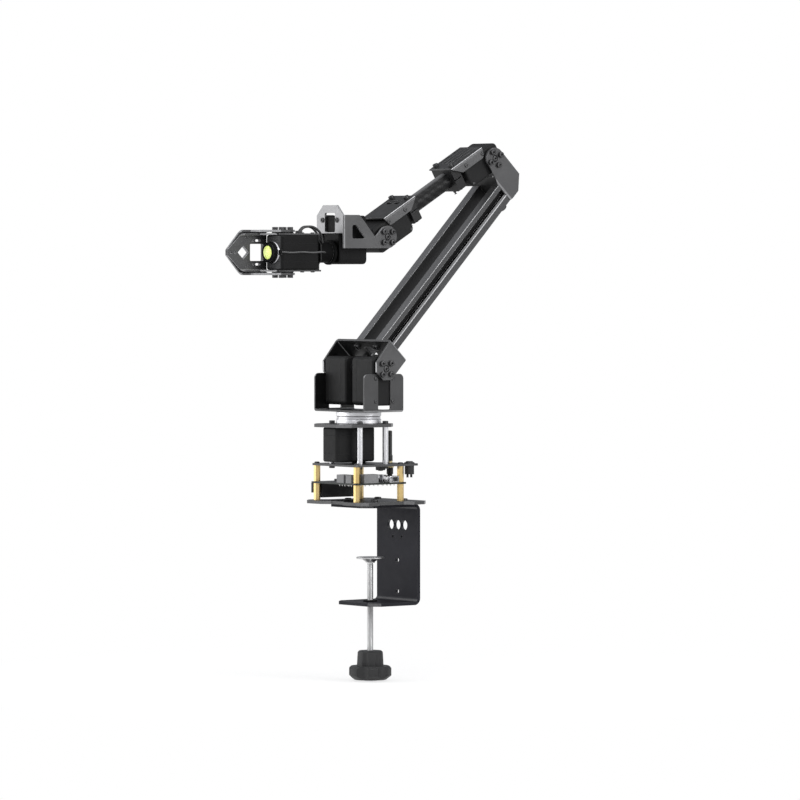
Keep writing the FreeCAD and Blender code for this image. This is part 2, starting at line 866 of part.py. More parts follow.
def ball_places():
    turns = [math.radians(360 / ball_count * i) for i in range(ball_count)]
    return [(track_r * math.cos(a), track_r * math.sin(a)) for a in turns]


def bearing_cage():
    """Cage ring lying on the lower race, with a pocket through it for every ball."""
    low = deck_top + race_high
    high = yoke_low - race_high - swing_gap
    out = bearing_r - cage_inset
    inn = bearing_bore_r + cage_inset
    ring = turned([(inn, low), (out, low), (out, high), (inn, high)])
    pockets = [rod(ball_r + running, 2 * cage_high, (x, y, low - 1), (0, 0, 1)) for x, y in ball_places()]
    return cut_all(ring, pockets)


def bearing_balls():
    middle = deck_top + race_high + cage_high / 2
    return Part.makeCompound([Part.makeSphere(ball_r, V(x, y, middle)) for x, y in ball_places()])


def yaw_horn():
    """Output shaft, flange and hub that carry the yoke on the base servo."""
    start = deck_low + boss_h
    wide = deck_top + swing_gap
    hub = bearing_bore_r - 0.6
    neck = boss_r - 0.4
    profile = [(0, start - shaft_sunk), (shaft_r, start - shaft_sunk), (shaft_r, start), (neck, start),
               (neck, wide), (hub, wide), (hub, yoke_low), (0, yoke_low)]
    return turned(profile)


def yoke():
    """Folded tray that holds the two shoulder servos, cheeks up."""
    tall = yoke_low + yoke_tall
    half = yoke_long / 2
    flat = channel_yz(yoke_out, -tall, -yoke_low, thin_sheet, -half, half)
    body = placed(flat, frame((0, 0, 0), (1, 0, 0), (0, 0, 1)))
    body.rotate(V(0, 0, 0), V(1, 0, 0), 180)
    side = [(half, yoke_low - 1), (half, tall, yoke_corner), (-half, tall, yoke_corner),
            (-half, yoke_low - 1)]
    body = body.common(slab_xz(side))
    x0, x1 = -shoulder_back - yoke_slot / 2, yoke_slot / 2 - shoulder_back
    floor = yoke_low + yoke_slot_floor
    holes = [slab_xz([(x0, tall + 2), (x0, floor, 1), (x1, floor, 1), (x1, tall + 2)])]
    for x in (x0 - yoke_hole_in, x1 + yoke_hole_in):
        for i in (0, 1):
            holes.append(drill_y(small_hole_r, x, tall - yoke_hole_top - i * yoke_hole_pitch))
    holes += [drill_z(hole_r, x, y) for x, y in horn_ring(45)]
    return cut_all(body, holes)


def fork_tongue():
    """Cheek outline with a chamfered end round its joint, widening a little up to the web."""
    c, low, rear, front = fork_chamfer, -fork_low, -fork_rear, fork_front
    return [(front + fork_flare, shoulder_web), (front, low + c), (front - c, low), (rear + c, low),
            (rear, low + c), (rear, shoulder_web)]


def shoulder_bracket():
    flat = channel_yz(shoulder_fork_out, -fork_low - 1, shoulder_web, fork_sheet, -fork_rear,
                      fork_front + fork_flare)
    body = flat.common(slab_xz(fork_tongue()))
    holes = fork_drill(0, 0, shoulder_horn_turn)
    for x, y in rail_bolt_places():
        holes.append(drill_z(rail_bolt_r + screw_fit, x, y))
    w = web_window
    holes.append(slab_xy([(-w, -w, 2), (w, -w, 2), (w, w, 2), (-w, w, 2)]))
    return placed(cut_all(body, holes), arm)


def at_shoulder(make):
    """The same piece on the outer end of both shoulder servos, turned with the arm."""
    pieces = []
    for side in (1, -1):
        here = frame((0, side * shoulder_mid, 0), (0, 0, -1), (0, side, 0))
        pieces.append(placed(make(1, -side * shoulder_horn_turn), arm, here))
    return Part.makeCompound(pieces)


def rail_bolt_places():
    return [(sx * rail_bolt_pitch / 2, sy * rail_apart / 2) for sx in (-1, 1) for sy in (-1, 1)]


def rail(y):
    """Slotted extrusion: a T-slot down both broad faces, tapped at both ends."""
    hx, hy = rail_deep / 2, rail_wide / 2
    m, s = slot_mouth / 2, slot_wide / 2
    lip, floor = hy - slot_lip, hy - slot_deep
    half = [(hx, hy, 0.5), (m + 0.7, hy), (m, lip), (s, lip), (s, floor + 1), (s - 1.5, floor),
            (1.5 - s, floor), (-s, floor + 1), (-s, lip), (-m, lip), (-m - 0.7, hy), (-hx, hy, 0.5)]
    other = [(-p[0], -p[1]) + tuple(p[2:]) for p in half]
    bar = sheet_xy(half + other, shoulder_web, rail_end)
    holes = []
    for x in (-rail_bolt_pitch / 2, rail_bolt_pitch / 2):
        for z in (shoulder_web - 1, rail_end - rail_bolt_in):
            holes.append(rod(rail_bolt_r, rail_bolt_in + 1, (x, 0, z), (0, 0, 1)))
    bar = cut_all(bar, holes)
    bar.translate(V(0, y, 0))
    return placed(bar, arm)


def rail_bolts():
    bolts = []
    grip = fork_sheet + rail_bolt_in - 2
    for x, y in rail_bolt_places():
        for face_at, way in ((shoulder_web - fork_sheet, 1), (rail_end + fork_sheet, -1)):
            head = rod(rail_bolt_head_r, rail_bolt_head_h, (x, y, face_at), (0, 0, -way))
            shank = rod(rail_bolt_r, grip + 1, (x, y, face_at - way), (0, 0, way))
            bolts.append(head.fuse(shank).removeSplitter())
    return placed(Part.makeCompound(bolts), arm)


def elbow_bracket():
    """Folded bracket from the rails' upper ends to the elbow axis."""
    low, r = rail_end, elbow_round
    ex, ez = elbow_offset, upper_reach
    rear = -rail_deep / 2
    flat = channel_yz(fork_out, -ez - r - 1, -low, fork_sheet, rear, ex)
    flat.rotate(V(0, 0, 0), V(1, 0, 0), 180)
    side = [(rear, low), (rear, low + elbow_tail_high), (rear + elbow_chamfer, ez + r), (ex, ez + r),
            (ex, ez - r), (rail_deep / 2, low)]
    body = flat.common(slab_xz(side))
    end = rod(r, 2 * fork_out, (ex, -fork_out, ez), (0, 1, 0))
    cheeks = end.cut(rod(r + 1, 2 * fork_in, (ex, -fork_in, ez), (0, 1, 0)))
    body = joined([body, cheeks])
    holes = fork_drill(ex, ez, elbow_horn_turn)
    for x, y in rail_bolt_places():
        holes.append(drill_z(rail_bolt_r + screw_fit, x, y))
    return placed(cut_all(body, holes), arm)


def at_elbow(make):
    return both_ends(make, -elbow_horn_turn, arm, frame((elbow_offset, 0, upper_reach), (1, 0, 0), (0, 1, 0)))


def long_slots(half):
    """Slots down the length of a cover's roof, with round ends, measured from its joint end."""
    tools = []
    w = cover_slot_wide / 2
    room = half - 2 * cover_edge
    pitch = 2 * room / (cover_slots - 1)
    x0, x1 = cover_edge, cover_long - cover_slot_front
    for i in range(cover_slots):
        y = pitch * i - room
        tools.append([(x0, y - w, w - 0.1), (x1, y - w, w - 0.1), (x1, y + w, w - 0.1), (x0, y + w, w - 0.1)])
    return tools


def tube_end_vents(half):
    """A slot across a cover's roof near the tube, with two square vents beside it."""
    x0 = cover_long - vent_in
    x1 = x0 - 2 * vent_wide
    tools = [[(x0 - vent_wide, -vent_half), (x0, -vent_half), (x0, vent_half), (x0 - vent_wide, vent_half)]]
    for a, b in ((-vent_half, -vent_wide), (vent_wide, vent_half)):
        tools.append([(x1 - vent_box, a), (x1, a), (x1, b), (x1 - vent_box, b)])
    return tools


def servo_cover(make_openings):
    """Folded cover over a forearm servo, drawn from its joint end at x 0 to the tube end."""
    half = servo_depth / 2 + thin_sheet
    long, low = cover_long, cover_skirt
    body = channel_yz(half, low, cover_rise, thin_sheet, 0, long)
    side = [(0, cover_rise - thin_sheet), (cover_rear_cut, low, 2), (long - cover_front_cut, low, 2),
            (long, cover_rise - thin_sheet), (long, cover_rise + 1), (0, cover_rise + 1)]
    body = body.common(slab_xz(side))
    roof = cover_rise - thin_sheet
    holes = [sheet_xy(points, roof - 1, cover_rise + 1) for points in make_openings(half)]
    for i in (0, 1):
        holes.append(drill_y(small_hole_r, cover_hole_in + i * cover_hole_pitch, cover_hole_z))
    return body, holes


def fitted_cover(make_openings, axis_x, way, start):
    """A servo cover bored for its two clamp bolts and laid along the forearm from one joint."""
    body, holes = servo_cover(make_openings)
    for side in (-1, 1):
        holes.append(drill_z(hole_r, servo_end + neck_long + grip_long / 2 - start, side * pinch_side))
    here = frame((axis_x + way * start, 0, 0), (way, 0, 0), (0, 0, 1))
    return placed(cut_all(body, holes), forearm, here)


def tube_clamp(axis_x, way):
    """Block on the end of a servo, split beside the tube and closed on it by two bolts from the roof."""
    roof = cover_rise - thin_sheet
    x0, x1 = servo_end, servo_end + neck_long + grip_long
    grip = x0 + neck_long
    n, g = neck_half, grip_half
    neck = sheet_yz([(-n, neck_low, 2), (n, neck_low, 2), (n, roof, 2), (-n, roof, 2)], x0, grip + 1)
    block = sheet_yz([(-g, grip_low, 2), (g, grip_low, 2), (g, roof, 2), (-g, roof, 2)], grip, x1)
    low = tube_raise - tube_slit / 2
    cuts = [box(grip + 1, x1 + 1, -g - 1, g + 1, low, low + tube_slit),
            rod(tube_r, through, (x0 + tube_inset, 0, tube_raise), (1, 0, 0))]
    for side in (-1, 1):
        cuts.append(drill_z(hole_r, grip + grip_long / 2, side * pinch_side))
    here = frame((axis_x, 0, 0), (way, 0, 0), (0, 0, 1))
    return placed(cut_all(joined([neck, block]), cuts), forearm, here)


def carbon_tube():
    start = servo_end + tube_inset
    long = forearm_reach - 2 * start
    tube = rod(tube_r, long, (start, 0, tube_raise), (1, 0, 0))
    return placed(tube.cut(drill_x(tube_r - tube_wall, 0, tube_raise)), forearm)


def pinch_bolts():
    """Two bolts down through each cover and tube clamp, with their ends showing below."""
    bolts = []
    reach = cover_rise - grip_low + pinch_tail
    at = servo_end + neck_long + grip_long / 2
    for x in (at, forearm_reach - at):
        for side in (-1, 1):
            head = rod(screw_head_r, screw_head_h, (x, side * pinch_side, cover_rise), (0, 0, 1))
            shank = rod(screw_r, reach + 1, (x, side * pinch_side, cover_rise + 1), (0, 0, -1))
            bolts.append(head.fuse(shank).removeSplitter())
    return placed(Part.makeCompound(bolts), forearm)


def wrist_cheek():
    """Cheek round the pitch axis, rising to the head, with a three-sided window."""
    r, front = wrist_round, wrist_front
    notch = (r * math.cos(math.radians(40)), r * math.sin(math.radians(40)))
    side = slab_xz([(front, -r), (front, wrist_top), (front - wrist_shoulder, wrist_top, 2),
                    (wrist_notch, 0, 1.5), notch, (0, 0), (0, -r)])
    back = front - window_in
    window = slab_xz([(back, window_top, 1.5), (back - window_upper, window_top, 2),
                      (back - window_lower, window_low, 1), (back, window_low, 1.5)])
    return joined([side, drill_y(r, 0, 0)]).cut(window)


def wrist_bracket():
    """Folded bracket: a cheek each side of the pitch servo and a tall head for the roll servo."""
    front, t = wrist_front, fork_sheet
    out, inn = fork_out, fork_in
    back = -2 * wrist_round
    outer = [(front, -out, bend + t), (front, out, bend + t), (back, out), (back, -out)]
    inner = [(front - t, -inn, bend), (front - t, inn, bend), (back - 1, inn), (back - 1, -inn)]
    shell = sheet_xy(outer, -through / 2, through / 2).cut(slab_xy(inner))
    cheeks = shell.common(wrist_cheek())
    c, up, low = wrist_head_corner, wrist_head_top, -roll_drop
    wide = out - wrist_head_side
    head = sheet_yz([(wide, low), (wide, up - c), (wide - c, up), (c - wide, up), (-wide, up - c),
                     (-wide, low)], front - t, front)
    body = joined([cheeks, head])
    holes = fork_drill(0, 0, wrist_horn_turn)
    half = head_window_half
    pane = [(-half, head_window_low, 1.5), (half, head_window_low, 1.5), (half, head_window_top, 1.5),
            (-half, head_window_top, 1.5)]
    holes.append(sheet_yz(pane, front - 5, front + 5))
    holes.append(rod(hub_flange_r + 0.5, 20, (front - 10, 0, -roll_drop), (1, 0, 0)))
    for side in (-1, 1):
        holes.append(rod(hole_r, 20, (front - 10, side * head_screw_y, head_screw_z), (1, 0, 0)))
    return placed(cut_all(body, holes), hand)


def at_wrist(make):
    return both_ends(make, -wrist_horn_turn, hand, frame((0, 0, 0), (1, 0, 0), (0, 1, 0)))


def cable_path(side):
    """Corners of a servo cord, from its plug on the top plate to the floor of its seat in the hub."""
    x = cord_plug_x if side > 0 else cord_plug_x - cord_stagger
    y = side * cord_y
    low = servo_depth / 2 + thin_sheet
    rise = low + plug_high + cord_rise
    second = (x - cord_hub_x) * 0.2
    third = (x - cord_hub_x) * 0.62
    return [(x, y, low + plug_high / 2), (x - second, y, rise), (x - third, y, rise + 0.4),
            (cord_hub_x + 1.4, y, low - 0.4), (cord_hub_x, y, hub_r - cord_sunk)]


def lead_path():
    """Corners of the lamp's lead, from the ear on its panel to the floor of its seat in the hub."""
    y = servo_width / 2 + lead_r + lead_off
    start = gripper_axis + servo_inset
    last = cord_hub_x + lead_last
    step = (start - last) / 4
    points = [(start - step * i, y + lead_sway * (i % 2), lead_sway * (1 - 2 * (i % 2))) for i in range(4)]
    return points + [(last, y - lead_sway, lead_sway), (cord_hub_x, hub_r - cord_sunk, 0)]


def cord_seat(points, radius):
    """The hole that a cord ends in, drilled along its last run."""
    end = V(*points[-1])
    way = V(*points[-2]) - end
    return rod(radius + seat, 2.5 * cord_sunk, end, way)


def roll_hub():
    """Horn and hub of the roll servo, drawn along its own axis and laid along X."""
    start = servo_depth / 2 + boss_h
    tip = hand_back - roll_face + servo_depth / 2
    step = start + hub_flange_t
    profile = [(0, start - shaft_sunk), (shaft_r, start - shaft_sunk), (shaft_r, start),
               (hub_flange_r, start, 0.5), (hub_flange_r, step, 0.5), (hub_r, step), (hub_r, tip), (0, tip)]
    seats = [cord_seat(cable_path(side), cable_r) for side in (-1, 1)] + [cord_seat(lead_path(), lead_r)]
    hub = placed(turned(profile), roll_servo_seat)
    return placed(cut_all(hub, [drop(hole) for hole in seats]), hand)


def jaw_outline(half, start):
    x0 = gripper_axis + start
    return [(x0, -half), (jaw_shoulder, -half, 2), (jaw_tip, -tip_half), (jaw_tip, tip_half),
            (jaw_shoulder, half, 2), (x0, half)]


def jaw_cuts():
    """Openings shared by both jaw plates: a window, a diamond, grip slots and pin holes."""
    x0, x1 = gripper_axis + jaw_window_in, gripper_axis + jaw_window_in + jaw_window_long
    w = jaw_window_half
    d, dx = diamond_half, gripper_axis + diamond_in
    cuts = [slab_xz([(x0, -w, 1), (x1, -w, 1), (x1, w, 1), (x0, w, 1)]),
            slab_xz([(dx - d, 0, 0.6), (dx, -d, 0.6), (dx + d, 0, 0.6), (dx, d, 0.6)])]
    s0, s1 = gripper_axis + grip_slot_in, gripper_axis + grip_slot_in + grip_slot_long
    h = grip_slot_half
    for side in (-1, 1):
        z = side * grip_row_z
        cuts.append(slab_xz([(s0, z - h, 1), (s1, z - h, 1), (s1, z + h, 1), (s0, z + h, 1)]))
        cuts.append(drill_y(small_hole_r, gripper_axis + pin_hole_in, z))
        cuts.append(drill_y(small_hole_r, gripper_axis + corner_hole_in, side * corner_hole_z))
    for i in (0, 1):
        cuts.append(drill_y(tip_hole_r, jaw_tip - tip_hole_in - i * tip_hole_pitch, 0))
    return cuts


def jaw_channel(side_at, sheet, half, wide, x0):
    """Folded U along X, open to +Y: the jaw plate at side_at, a flange above and below."""
    s, t = side_at, sheet
    outer = [(wide, -half), (wide, half), (s - t, half, bend + t), (s - t, -half, bend + t)]
    inner = [(wide + 1, t - half), (wide + 1, half - t), (s, half - t, bend), (s, t - half, bend)]
    return sheet_yz(outer, x0, jaw_tip).cut(sheet_yz(inner, x0 - 1, jaw_tip + 1))


def drop(shape):
    """From the roll axis to the pitch axis of the wrist."""
    shape.translate(V(0, 0, -roll_drop))
    return shape


def hand_frame():
    """Fixed jaw, servo plates above and below and the back web, folded from one sheet."""
    t = thin_sheet
    low = servo_depth / 2
    out = low + t
    side = servo_width / 2
    front = gripper_axis + jaw_plate_in
    nose = gripper_axis + servo_inset
    deep = flange_deep - jaw_inner
    jaw = jaw_channel(-jaw_inner, t, out, side, front)
    jaw = jaw.common(slab_xz(jaw_outline(out, jaw_plate_in)))
    spare = slab_xy([(front - 1, side + 1), (front - 1, side - 2), (nose - 4, side - 4), (nose + 9, deep),
                     (jaw_tip, deep), (jaw_tip, side + 1)])
    jaw = cut_all(jaw.cut(spare), jaw_cuts())
    plates = []
    for way in (1, -1):
        z0, z1 = sorted((way * low, way * out))
        plan = [(hand_back, side - 2, 2), (hand_back, 2 - side, 2), (front + 1, -jaw_inner - t + 0.3),
                (front + 1, side - 4), (front - 7, side - 2, 2)]
        plates.append(sheet_xy(plan, z0, z1))
    near = [(web_neck, -out), (web_neck, -web_neck_z), (side - 2, -web_wide_z), (side - 2, web_wide_z),
            (web_neck, web_neck_z), (web_neck, out)]
    back = sheet_yz(near + [(-y, z) for y, z in reversed(near)], hand_back, hand_back + t)
    body = joined([jaw] + plates + [back])
    holes = [drill_z(boss_r + 0.6, gripper_axis, 0)]
    for x in plate_hole_in:
        for way in (-1, 1):
            holes.append(drill_z(small_hole_r, hand_back + x, way * plate_hole_y))
    for y in (-web_hole_in, web_hole_in):
        for z in (-web_hole_in, web_hole_in):
            holes.append(rod(small_hole_r, 10, (hand_back - 5, y, z), (1, 0, 0)))
    return placed(drop(cut_all(body, holes)), hand)


def lamp_housing():
    """Round lamp body on a ring against the gripper servo's front end, with a lug for its lead."""
    out = lamp_ring_t + lamp_out
    ring = [(0, 0), (lamp_ring_r, 0), (lamp_ring_r, lamp_ring_t, 0.5), (lamp_r, lamp_ring_t)]
    barrel = [(lamp_r, out - 1.2), (lens_r + 1.4, out), (lens_r + seat, out - 0.6),
              (lens_r + seat, out - lens_sunk), (0, out - lens_sunk)]
    nose = gripper_axis + servo_inset
    body = placed(turned(ring + barrel), frame((nose, 0, 0), (0, 0, -1), (1, 0, 0)))
    side = servo_width / 2
    lug = box(nose, nose + lug_t, lamp_ring_r - 3, side + 2 * (lead_r + lead_off), -lug_half, lug_half)
    return placed(drop(joined([body, lug])), hand)


def lamp_lens():
    start = gripper_axis + servo_inset + lamp_ring_t + lamp_out - lens_sunk
    r = lens_r
    crown = lens_sunk + lens_dome
    profile = [(0, 0), (r, 0), (r, lens_sunk - 0.6), (r * 0.86, lens_sunk + 0.2, 1.5), (r * 0.5, crown),
               (0, crown)]
    return placed(drop(placed(turned(profile), frame((start, 0, 0), (0, 0, -1), (1, 0, 0)))), hand)


def at_jaw(make):
    return both_ends(make, jaw_horn_turn, hand, gripper_seat)


def moving_jaw():
    """Moving jaw: a pointed plate between two arms that ride on the gripper's horns."""
    t, axis, r = fork_sheet, gripper_axis, arm_round
    side_at = -jaw_inner - thin_sheet - jaw_gap
    outside = side_at - t
    deep = outside + flange_deep
    out = fork_out
    body = jaw_channel(side_at, t, out, r + 0.2, axis - r - 0.2)
    plan = [(axis - r, r, r - 0.1), (axis - r, -r, r - 0.1), (axis + 2, -r), (axis + jaw_start, outside),
            (jaw_tip, outside), (jaw_tip, deep), (axis + jaw_window_in + jaw_window_long, deep),
            (axis + 9, r - 2, 3), (axis, r)]
    arms = body.common(slab_xy(plan))
    arms = arms.common(slab_xz(jaw_outline(out, -r - 1)))
    holes = jaw_cuts() + [drill_z(wrench_r, axis, 0)]
    holes += [drill_z(hole_r, axis + x, y) for x, y in horn_ring(jaw_horn_turn)]
    return placed(drop(cut_all(arms, holes)), hand)


def tube_along(points, radius, bends):
    """A round cord along straight runs joined by tangent arcs."""
    edges = []
    start = V(*points[0])
    for i in range(1, len(points) - 1):
        here = V(*points[i])
        before = (V(*points[i - 1]) - here).normalize()
        after = (V(*points[i + 1]) - here).normalize()
        half = before.getAngle(after) / 2
        r = bends[i - 1]
        back = r / math.tan(half)
        middle = (before + after).normalize()
        into, out = here + before * back, here + after * back
        centre = here + middle * (r / math.sin(half))
        edges.append(Part.makeLine(start, into))
        edges.append(Part.Arc(into, centre - middle * r, out).toShape())
        start = out
    edges.append(Part.makeLine(start, V(*points[-1])))
    path = Part.Wire(edges)
    way = (V(*points[1]) - V(*points[0])).normalize()
    ring = Part.Wire(Part.makeCircle(radius, V(*points[0]), way))
    return path.makePipeShell([ring], True, False)


def arc_radii(points):
    """Tangent-arc radius at each inner corner: 0.45 of the shorter run over tan of half the turn."""
    radii = []
    for i in range(1, len(points) - 1):
        a = V(*points[i]) - V(*points[i - 1])
        b = V(*points[i + 1]) - V(*points[i])
        turn = a.getAngle(b)
        radii.append(0.45 * min(a.Length, b.Length) / math.tan(turn / 2))
    return radii


def cord(points, radius):
    radii = arc_radii(points)
    print("cord radii", [round(r, 1) for r in radii])
    return tube_along(points, radius, radii)


def servo_cables():
    """Two servo cords, each from a plug on the hand's top plate over and down into the hub."""
    top = servo_depth / 2 + thin_sheet
    cords = []
    for side in (1, -1):
        points = cable_path(side)
        x, y = points[0][:2]
        plug = box(x - plug_long / 2, x + plug_long / 2, y - plug_wide / 2, y + plug_wide / 2,
                   top, top + plug_high)
        cords.append(joined([plug, cord(points, cable_r)]))
    return placed(drop(Part.makeCompound(cords)), hand)


def lamp_lead():
    """Thin lead from the lamp's panel along the servo's near side and into the hub."""
    return placed(drop(cord(lead_path(), lead_r)), hand)


# One node for every separate piece, or for a group of like pieces on one body
nodes = {
    "clamp_bracket": clamp_bracket(),
    "clamp_nut": clamp_nut(),
    "clamp_pad": clamp_pad(),
    "clamp_screw": clamp_screw(),
    "clamp_knob": clamp_knob(),
    "base_plate": base_plate(),
    "lower_standoffs": hex_posts(base_top, lower_standoff),
    "driver_board": driver_board(),
    "board_socket": board_socket(),
    "board_connectors": board_connectors(),
    "board_chips": board_chips(),
    "upper_standoffs": hex_posts(board_top, upper_standoff),
    "mid_plate": mid_plate(),
    "power_button_body": power_button_body(),
    "power_button_cap": power_button_cap(),
    "antenna_socket": antenna_socket(),
    "antenna": antenna(),
    "support_posts": support_posts(),
    "base_servo": placed(servo_case((0, -1)), base_servo_seat),
    "top_plate": top_plate(),
    "bearing_lower_race": bearing_lower_race(),
    "bearing_cage": bearing_cage(),
    "bearing_balls": bearing_balls(),
    "bearing_upper_race": bearing_upper_race(),
    "yaw_horn": yaw_horn(),
    "yoke": yoke(),
    "left_shoulder_servo": placed(servo_case((1, 0)), left_servo_seat),
    "right_shoulder_servo": placed(servo_case((1, 0)), right_servo_seat),
    "shoulder_horns": at_shoulder(servo_horn),
    "shoulder_bracket": shoulder_bracket(),
    "shoulder_screws": at_shoulder(horn_screws),
    "left_rail": rail(rail_apart / 2),
    "right_rail": rail(-rail_apart / 2),
    "rail_bolts": rail_bolts(),
    "elbow_bracket": elbow_bracket(),
    "elbow_horns": at_elbow(servo_horn),
    "elbow_screws": at_elbow(horn_screws),
    "elbow_servo": placed(servo_case((1, 0)), forearm, elbow_servo_seat),
    "elbow_cover": fitted_cover(long_slots, 0, 1, elbow_cover_start),
    "rear_tube_clamp": tube_clamp(0, 1),
    "carbon_tube": carbon_tube(),
    "front_tube_clamp": tube_clamp(forearm_reach, -1),
    "pinch_bolts": pinch_bolts(),
    "wrist_servo": placed(servo_case((1, 0)), forearm, wrist_servo_seat),
    "wrist_cover": fitted_cover(tube_end_vents, forearm_reach, -1, wrist_cover_start),
    "wrist_horns": at_wrist(servo_horn),
    "wrist_bracket": wrist_bracket(),
    "wrist_screws": at_wrist(horn_screws),
    "roll_servo": placed(servo_case((1, 0)), hand, roll_servo_seat),
    "roll_hub": roll_hub(),
    "hand_frame": hand_frame(),
    "gripper_servo": placed(servo_case((1, 0)), hand, gripper_seat),
    "lamp_housing": lamp_housing(),
    "lamp_lens": lamp_lens(),
    "servo_cables": servo_cables(),
    "lamp_lead": lamp_lead(),
    "jaw_horns": at_jaw(servo_horn),
    "moving_jaw": moving_jaw(),
    "jaw_screws": at_jaw(horn_screws),
}

os.makedirs("parts", exist_ok=True)
for name, shape in nodes.items():
    shape.exportStep(os.path.join("parts", name + ".step"))
    solids = shape.Solids
    print(name, len(solids), round(shape.Volume, 1), shape.isValid())
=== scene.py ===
import json
import math

import bpy
from mathutils import Matrix, Vector


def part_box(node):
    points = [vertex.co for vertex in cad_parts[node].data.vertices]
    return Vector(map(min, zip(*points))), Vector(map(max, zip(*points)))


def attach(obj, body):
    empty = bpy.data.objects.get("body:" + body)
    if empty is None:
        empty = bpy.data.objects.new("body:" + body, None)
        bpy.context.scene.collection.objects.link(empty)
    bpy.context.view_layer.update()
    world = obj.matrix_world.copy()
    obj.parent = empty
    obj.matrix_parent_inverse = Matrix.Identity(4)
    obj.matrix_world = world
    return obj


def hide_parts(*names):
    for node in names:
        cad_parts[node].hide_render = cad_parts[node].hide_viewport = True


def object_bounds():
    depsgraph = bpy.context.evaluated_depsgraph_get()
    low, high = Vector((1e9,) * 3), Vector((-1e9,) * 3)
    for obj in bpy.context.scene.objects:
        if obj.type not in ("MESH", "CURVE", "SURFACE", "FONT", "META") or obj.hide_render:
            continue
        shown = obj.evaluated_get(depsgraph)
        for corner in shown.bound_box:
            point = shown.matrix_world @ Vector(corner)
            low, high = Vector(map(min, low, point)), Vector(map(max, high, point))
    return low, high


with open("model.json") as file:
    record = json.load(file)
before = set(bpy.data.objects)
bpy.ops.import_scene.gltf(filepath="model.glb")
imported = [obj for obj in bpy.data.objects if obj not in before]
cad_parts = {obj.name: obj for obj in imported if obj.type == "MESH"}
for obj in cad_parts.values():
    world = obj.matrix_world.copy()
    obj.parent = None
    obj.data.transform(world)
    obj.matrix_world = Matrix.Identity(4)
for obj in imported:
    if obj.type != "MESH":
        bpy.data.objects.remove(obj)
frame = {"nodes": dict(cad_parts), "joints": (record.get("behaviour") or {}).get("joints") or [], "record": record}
cad_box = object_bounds()

# Desk-clamped servo arm, in metres, in the frame of its solids: +X forward, +Y left, +Z up.
mm = 0.001
joint_at = {joint["name"]: Vector(joint["pos_m"]) for joint in frame["joints"]}

# Pose of the links and sizes that several pieces share
lean_back = math.radians(44.0)
forearm_drop = math.radians(30.0)
elbow_offset = 31.1 * mm
upper_reach = 242.5 * mm
forearm_reach = 148.2 * mm
roll_drop = 14.3 * mm
servo_length = 45.2 * mm
servo_depth = 32.2 * mm
servo_inset = 11.0 * mm
servo_end = servo_length - servo_inset
horn_pitch = 7.0 * mm
fork_sheet = 2.0 * mm
thin_sheet = 1.5 * mm
fork_in = servo_depth / 2 + 2.7 * mm
fork_out = fork_in + fork_sheet
yoke_half = 36.7 * mm + thin_sheet
shoulder_out = 41.4 * mm
shoulder_web = 23.2 * mm
rail_end = 227.7 * mm
rail_apart = 28.8 * mm
rail_wide = 10.0 * mm
rail_deep = 20.0 * mm
slot_at = 1.0 * mm
slot_mouth = 8.8 * mm
slot_bevel = 1.7 * mm
slot_straight = 3.2 * mm
rail_bolt_pitch = 14.2 * mm
cover_half = servo_depth / 2 + thin_sheet
cover_rise = 16.4 * mm
pinch_side = 11.3 * mm
wrist_front = 51.9 * mm
head_clear = 19.0 * mm
head_foot = 3.4 * mm
cheek_low = 10.4 * mm
bend_deep = 2.6 * mm
hand_back = 69.0 * mm
web_deep = 2.2 * mm
plate_half = servo_depth / 2 + thin_sheet
gripper_axis = 106.5 * mm
lamp_foot = gripper_axis + servo_inset + 0.2 * mm
tray_sheet = 2.0 * mm

# Levels of the base
base_top = 6.0 * mm
board_low = 22.0 * mm
board_top = 23.6 * mm
tray_top = 40.6 * mm
tray_low = tray_top - tray_sheet
deck_top = 77.8 * mm

# Reference view
picture_px = 800
px_per_mm = 1.075
view_turn = math.radians(142.0)
view_rise = math.radians(1.6)
view_reach = 5.0
view_aim = Vector((-30.3, 23.7, 99.6)) * mm
sensor_mm = 36.0


def link_frame(origin, x_axis, z_axis):
    """Matrix of a link: its x, y and z axes as columns, then its origin."""
    x, z = Vector(x_axis), Vector(z_axis)
    turned = Matrix((x, z.cross(x), z)).transposed().to_4x4()
    return Matrix.Translation(origin) @ turned


def swung(x, z, angle):
    return (x * math.cos(angle) + z * math.sin(angle), 0, z * math.cos(angle) - x * math.sin(angle))


base = Matrix.Identity(4)
arm = link_frame(joint_at["shoulder_pitch"], swung(1, 0, -lean_back), swung(0, 1, -lean_back))
forearm = link_frame(joint_at["elbow_pitch"], swung(1, 0, forearm_drop), swung(0, 1, forearm_drop))
hand = link_frame(joint_at["wrist_pitch"], (1, 0, 0), (0, 0, 1))
grip = hand @ Matrix.Translation((0, 0, -roll_drop))


def facing(link, at, way):
    """Matrix that stands a piece drawn along +Z on a point of a link, pointing along way."""
    turn = Vector((0, 0, 1)).rotation_difference(Vector(way)).to_matrix().to_4x4()
    return link @ Matrix.Translation(Vector(at)) @ turn


# Finishes
def add(tree, kind, inputs=None, **settings):
    """A node with its settings made and its inputs set or linked."""
    node = tree.nodes.new(kind)
    for key, value in settings.items():
        setattr(node, key, value)
    for key, value in (inputs or {}).items():
        if isinstance(value, bpy.types.NodeSocket):
            tree.links.new(value, node.inputs[key])
        else:
            node.inputs[key].default_value = value
    return node


def blank_finish(name, metallic, roughness):
    material = bpy.data.materials.new(name)
    material.use_nodes = True
    tree = material.node_tree
    shader = tree.nodes["Principled BSDF"]
    shader.inputs["Metallic"].default_value = metallic
    shader.inputs["Roughness"].default_value = roughness
    return material, tree, shader


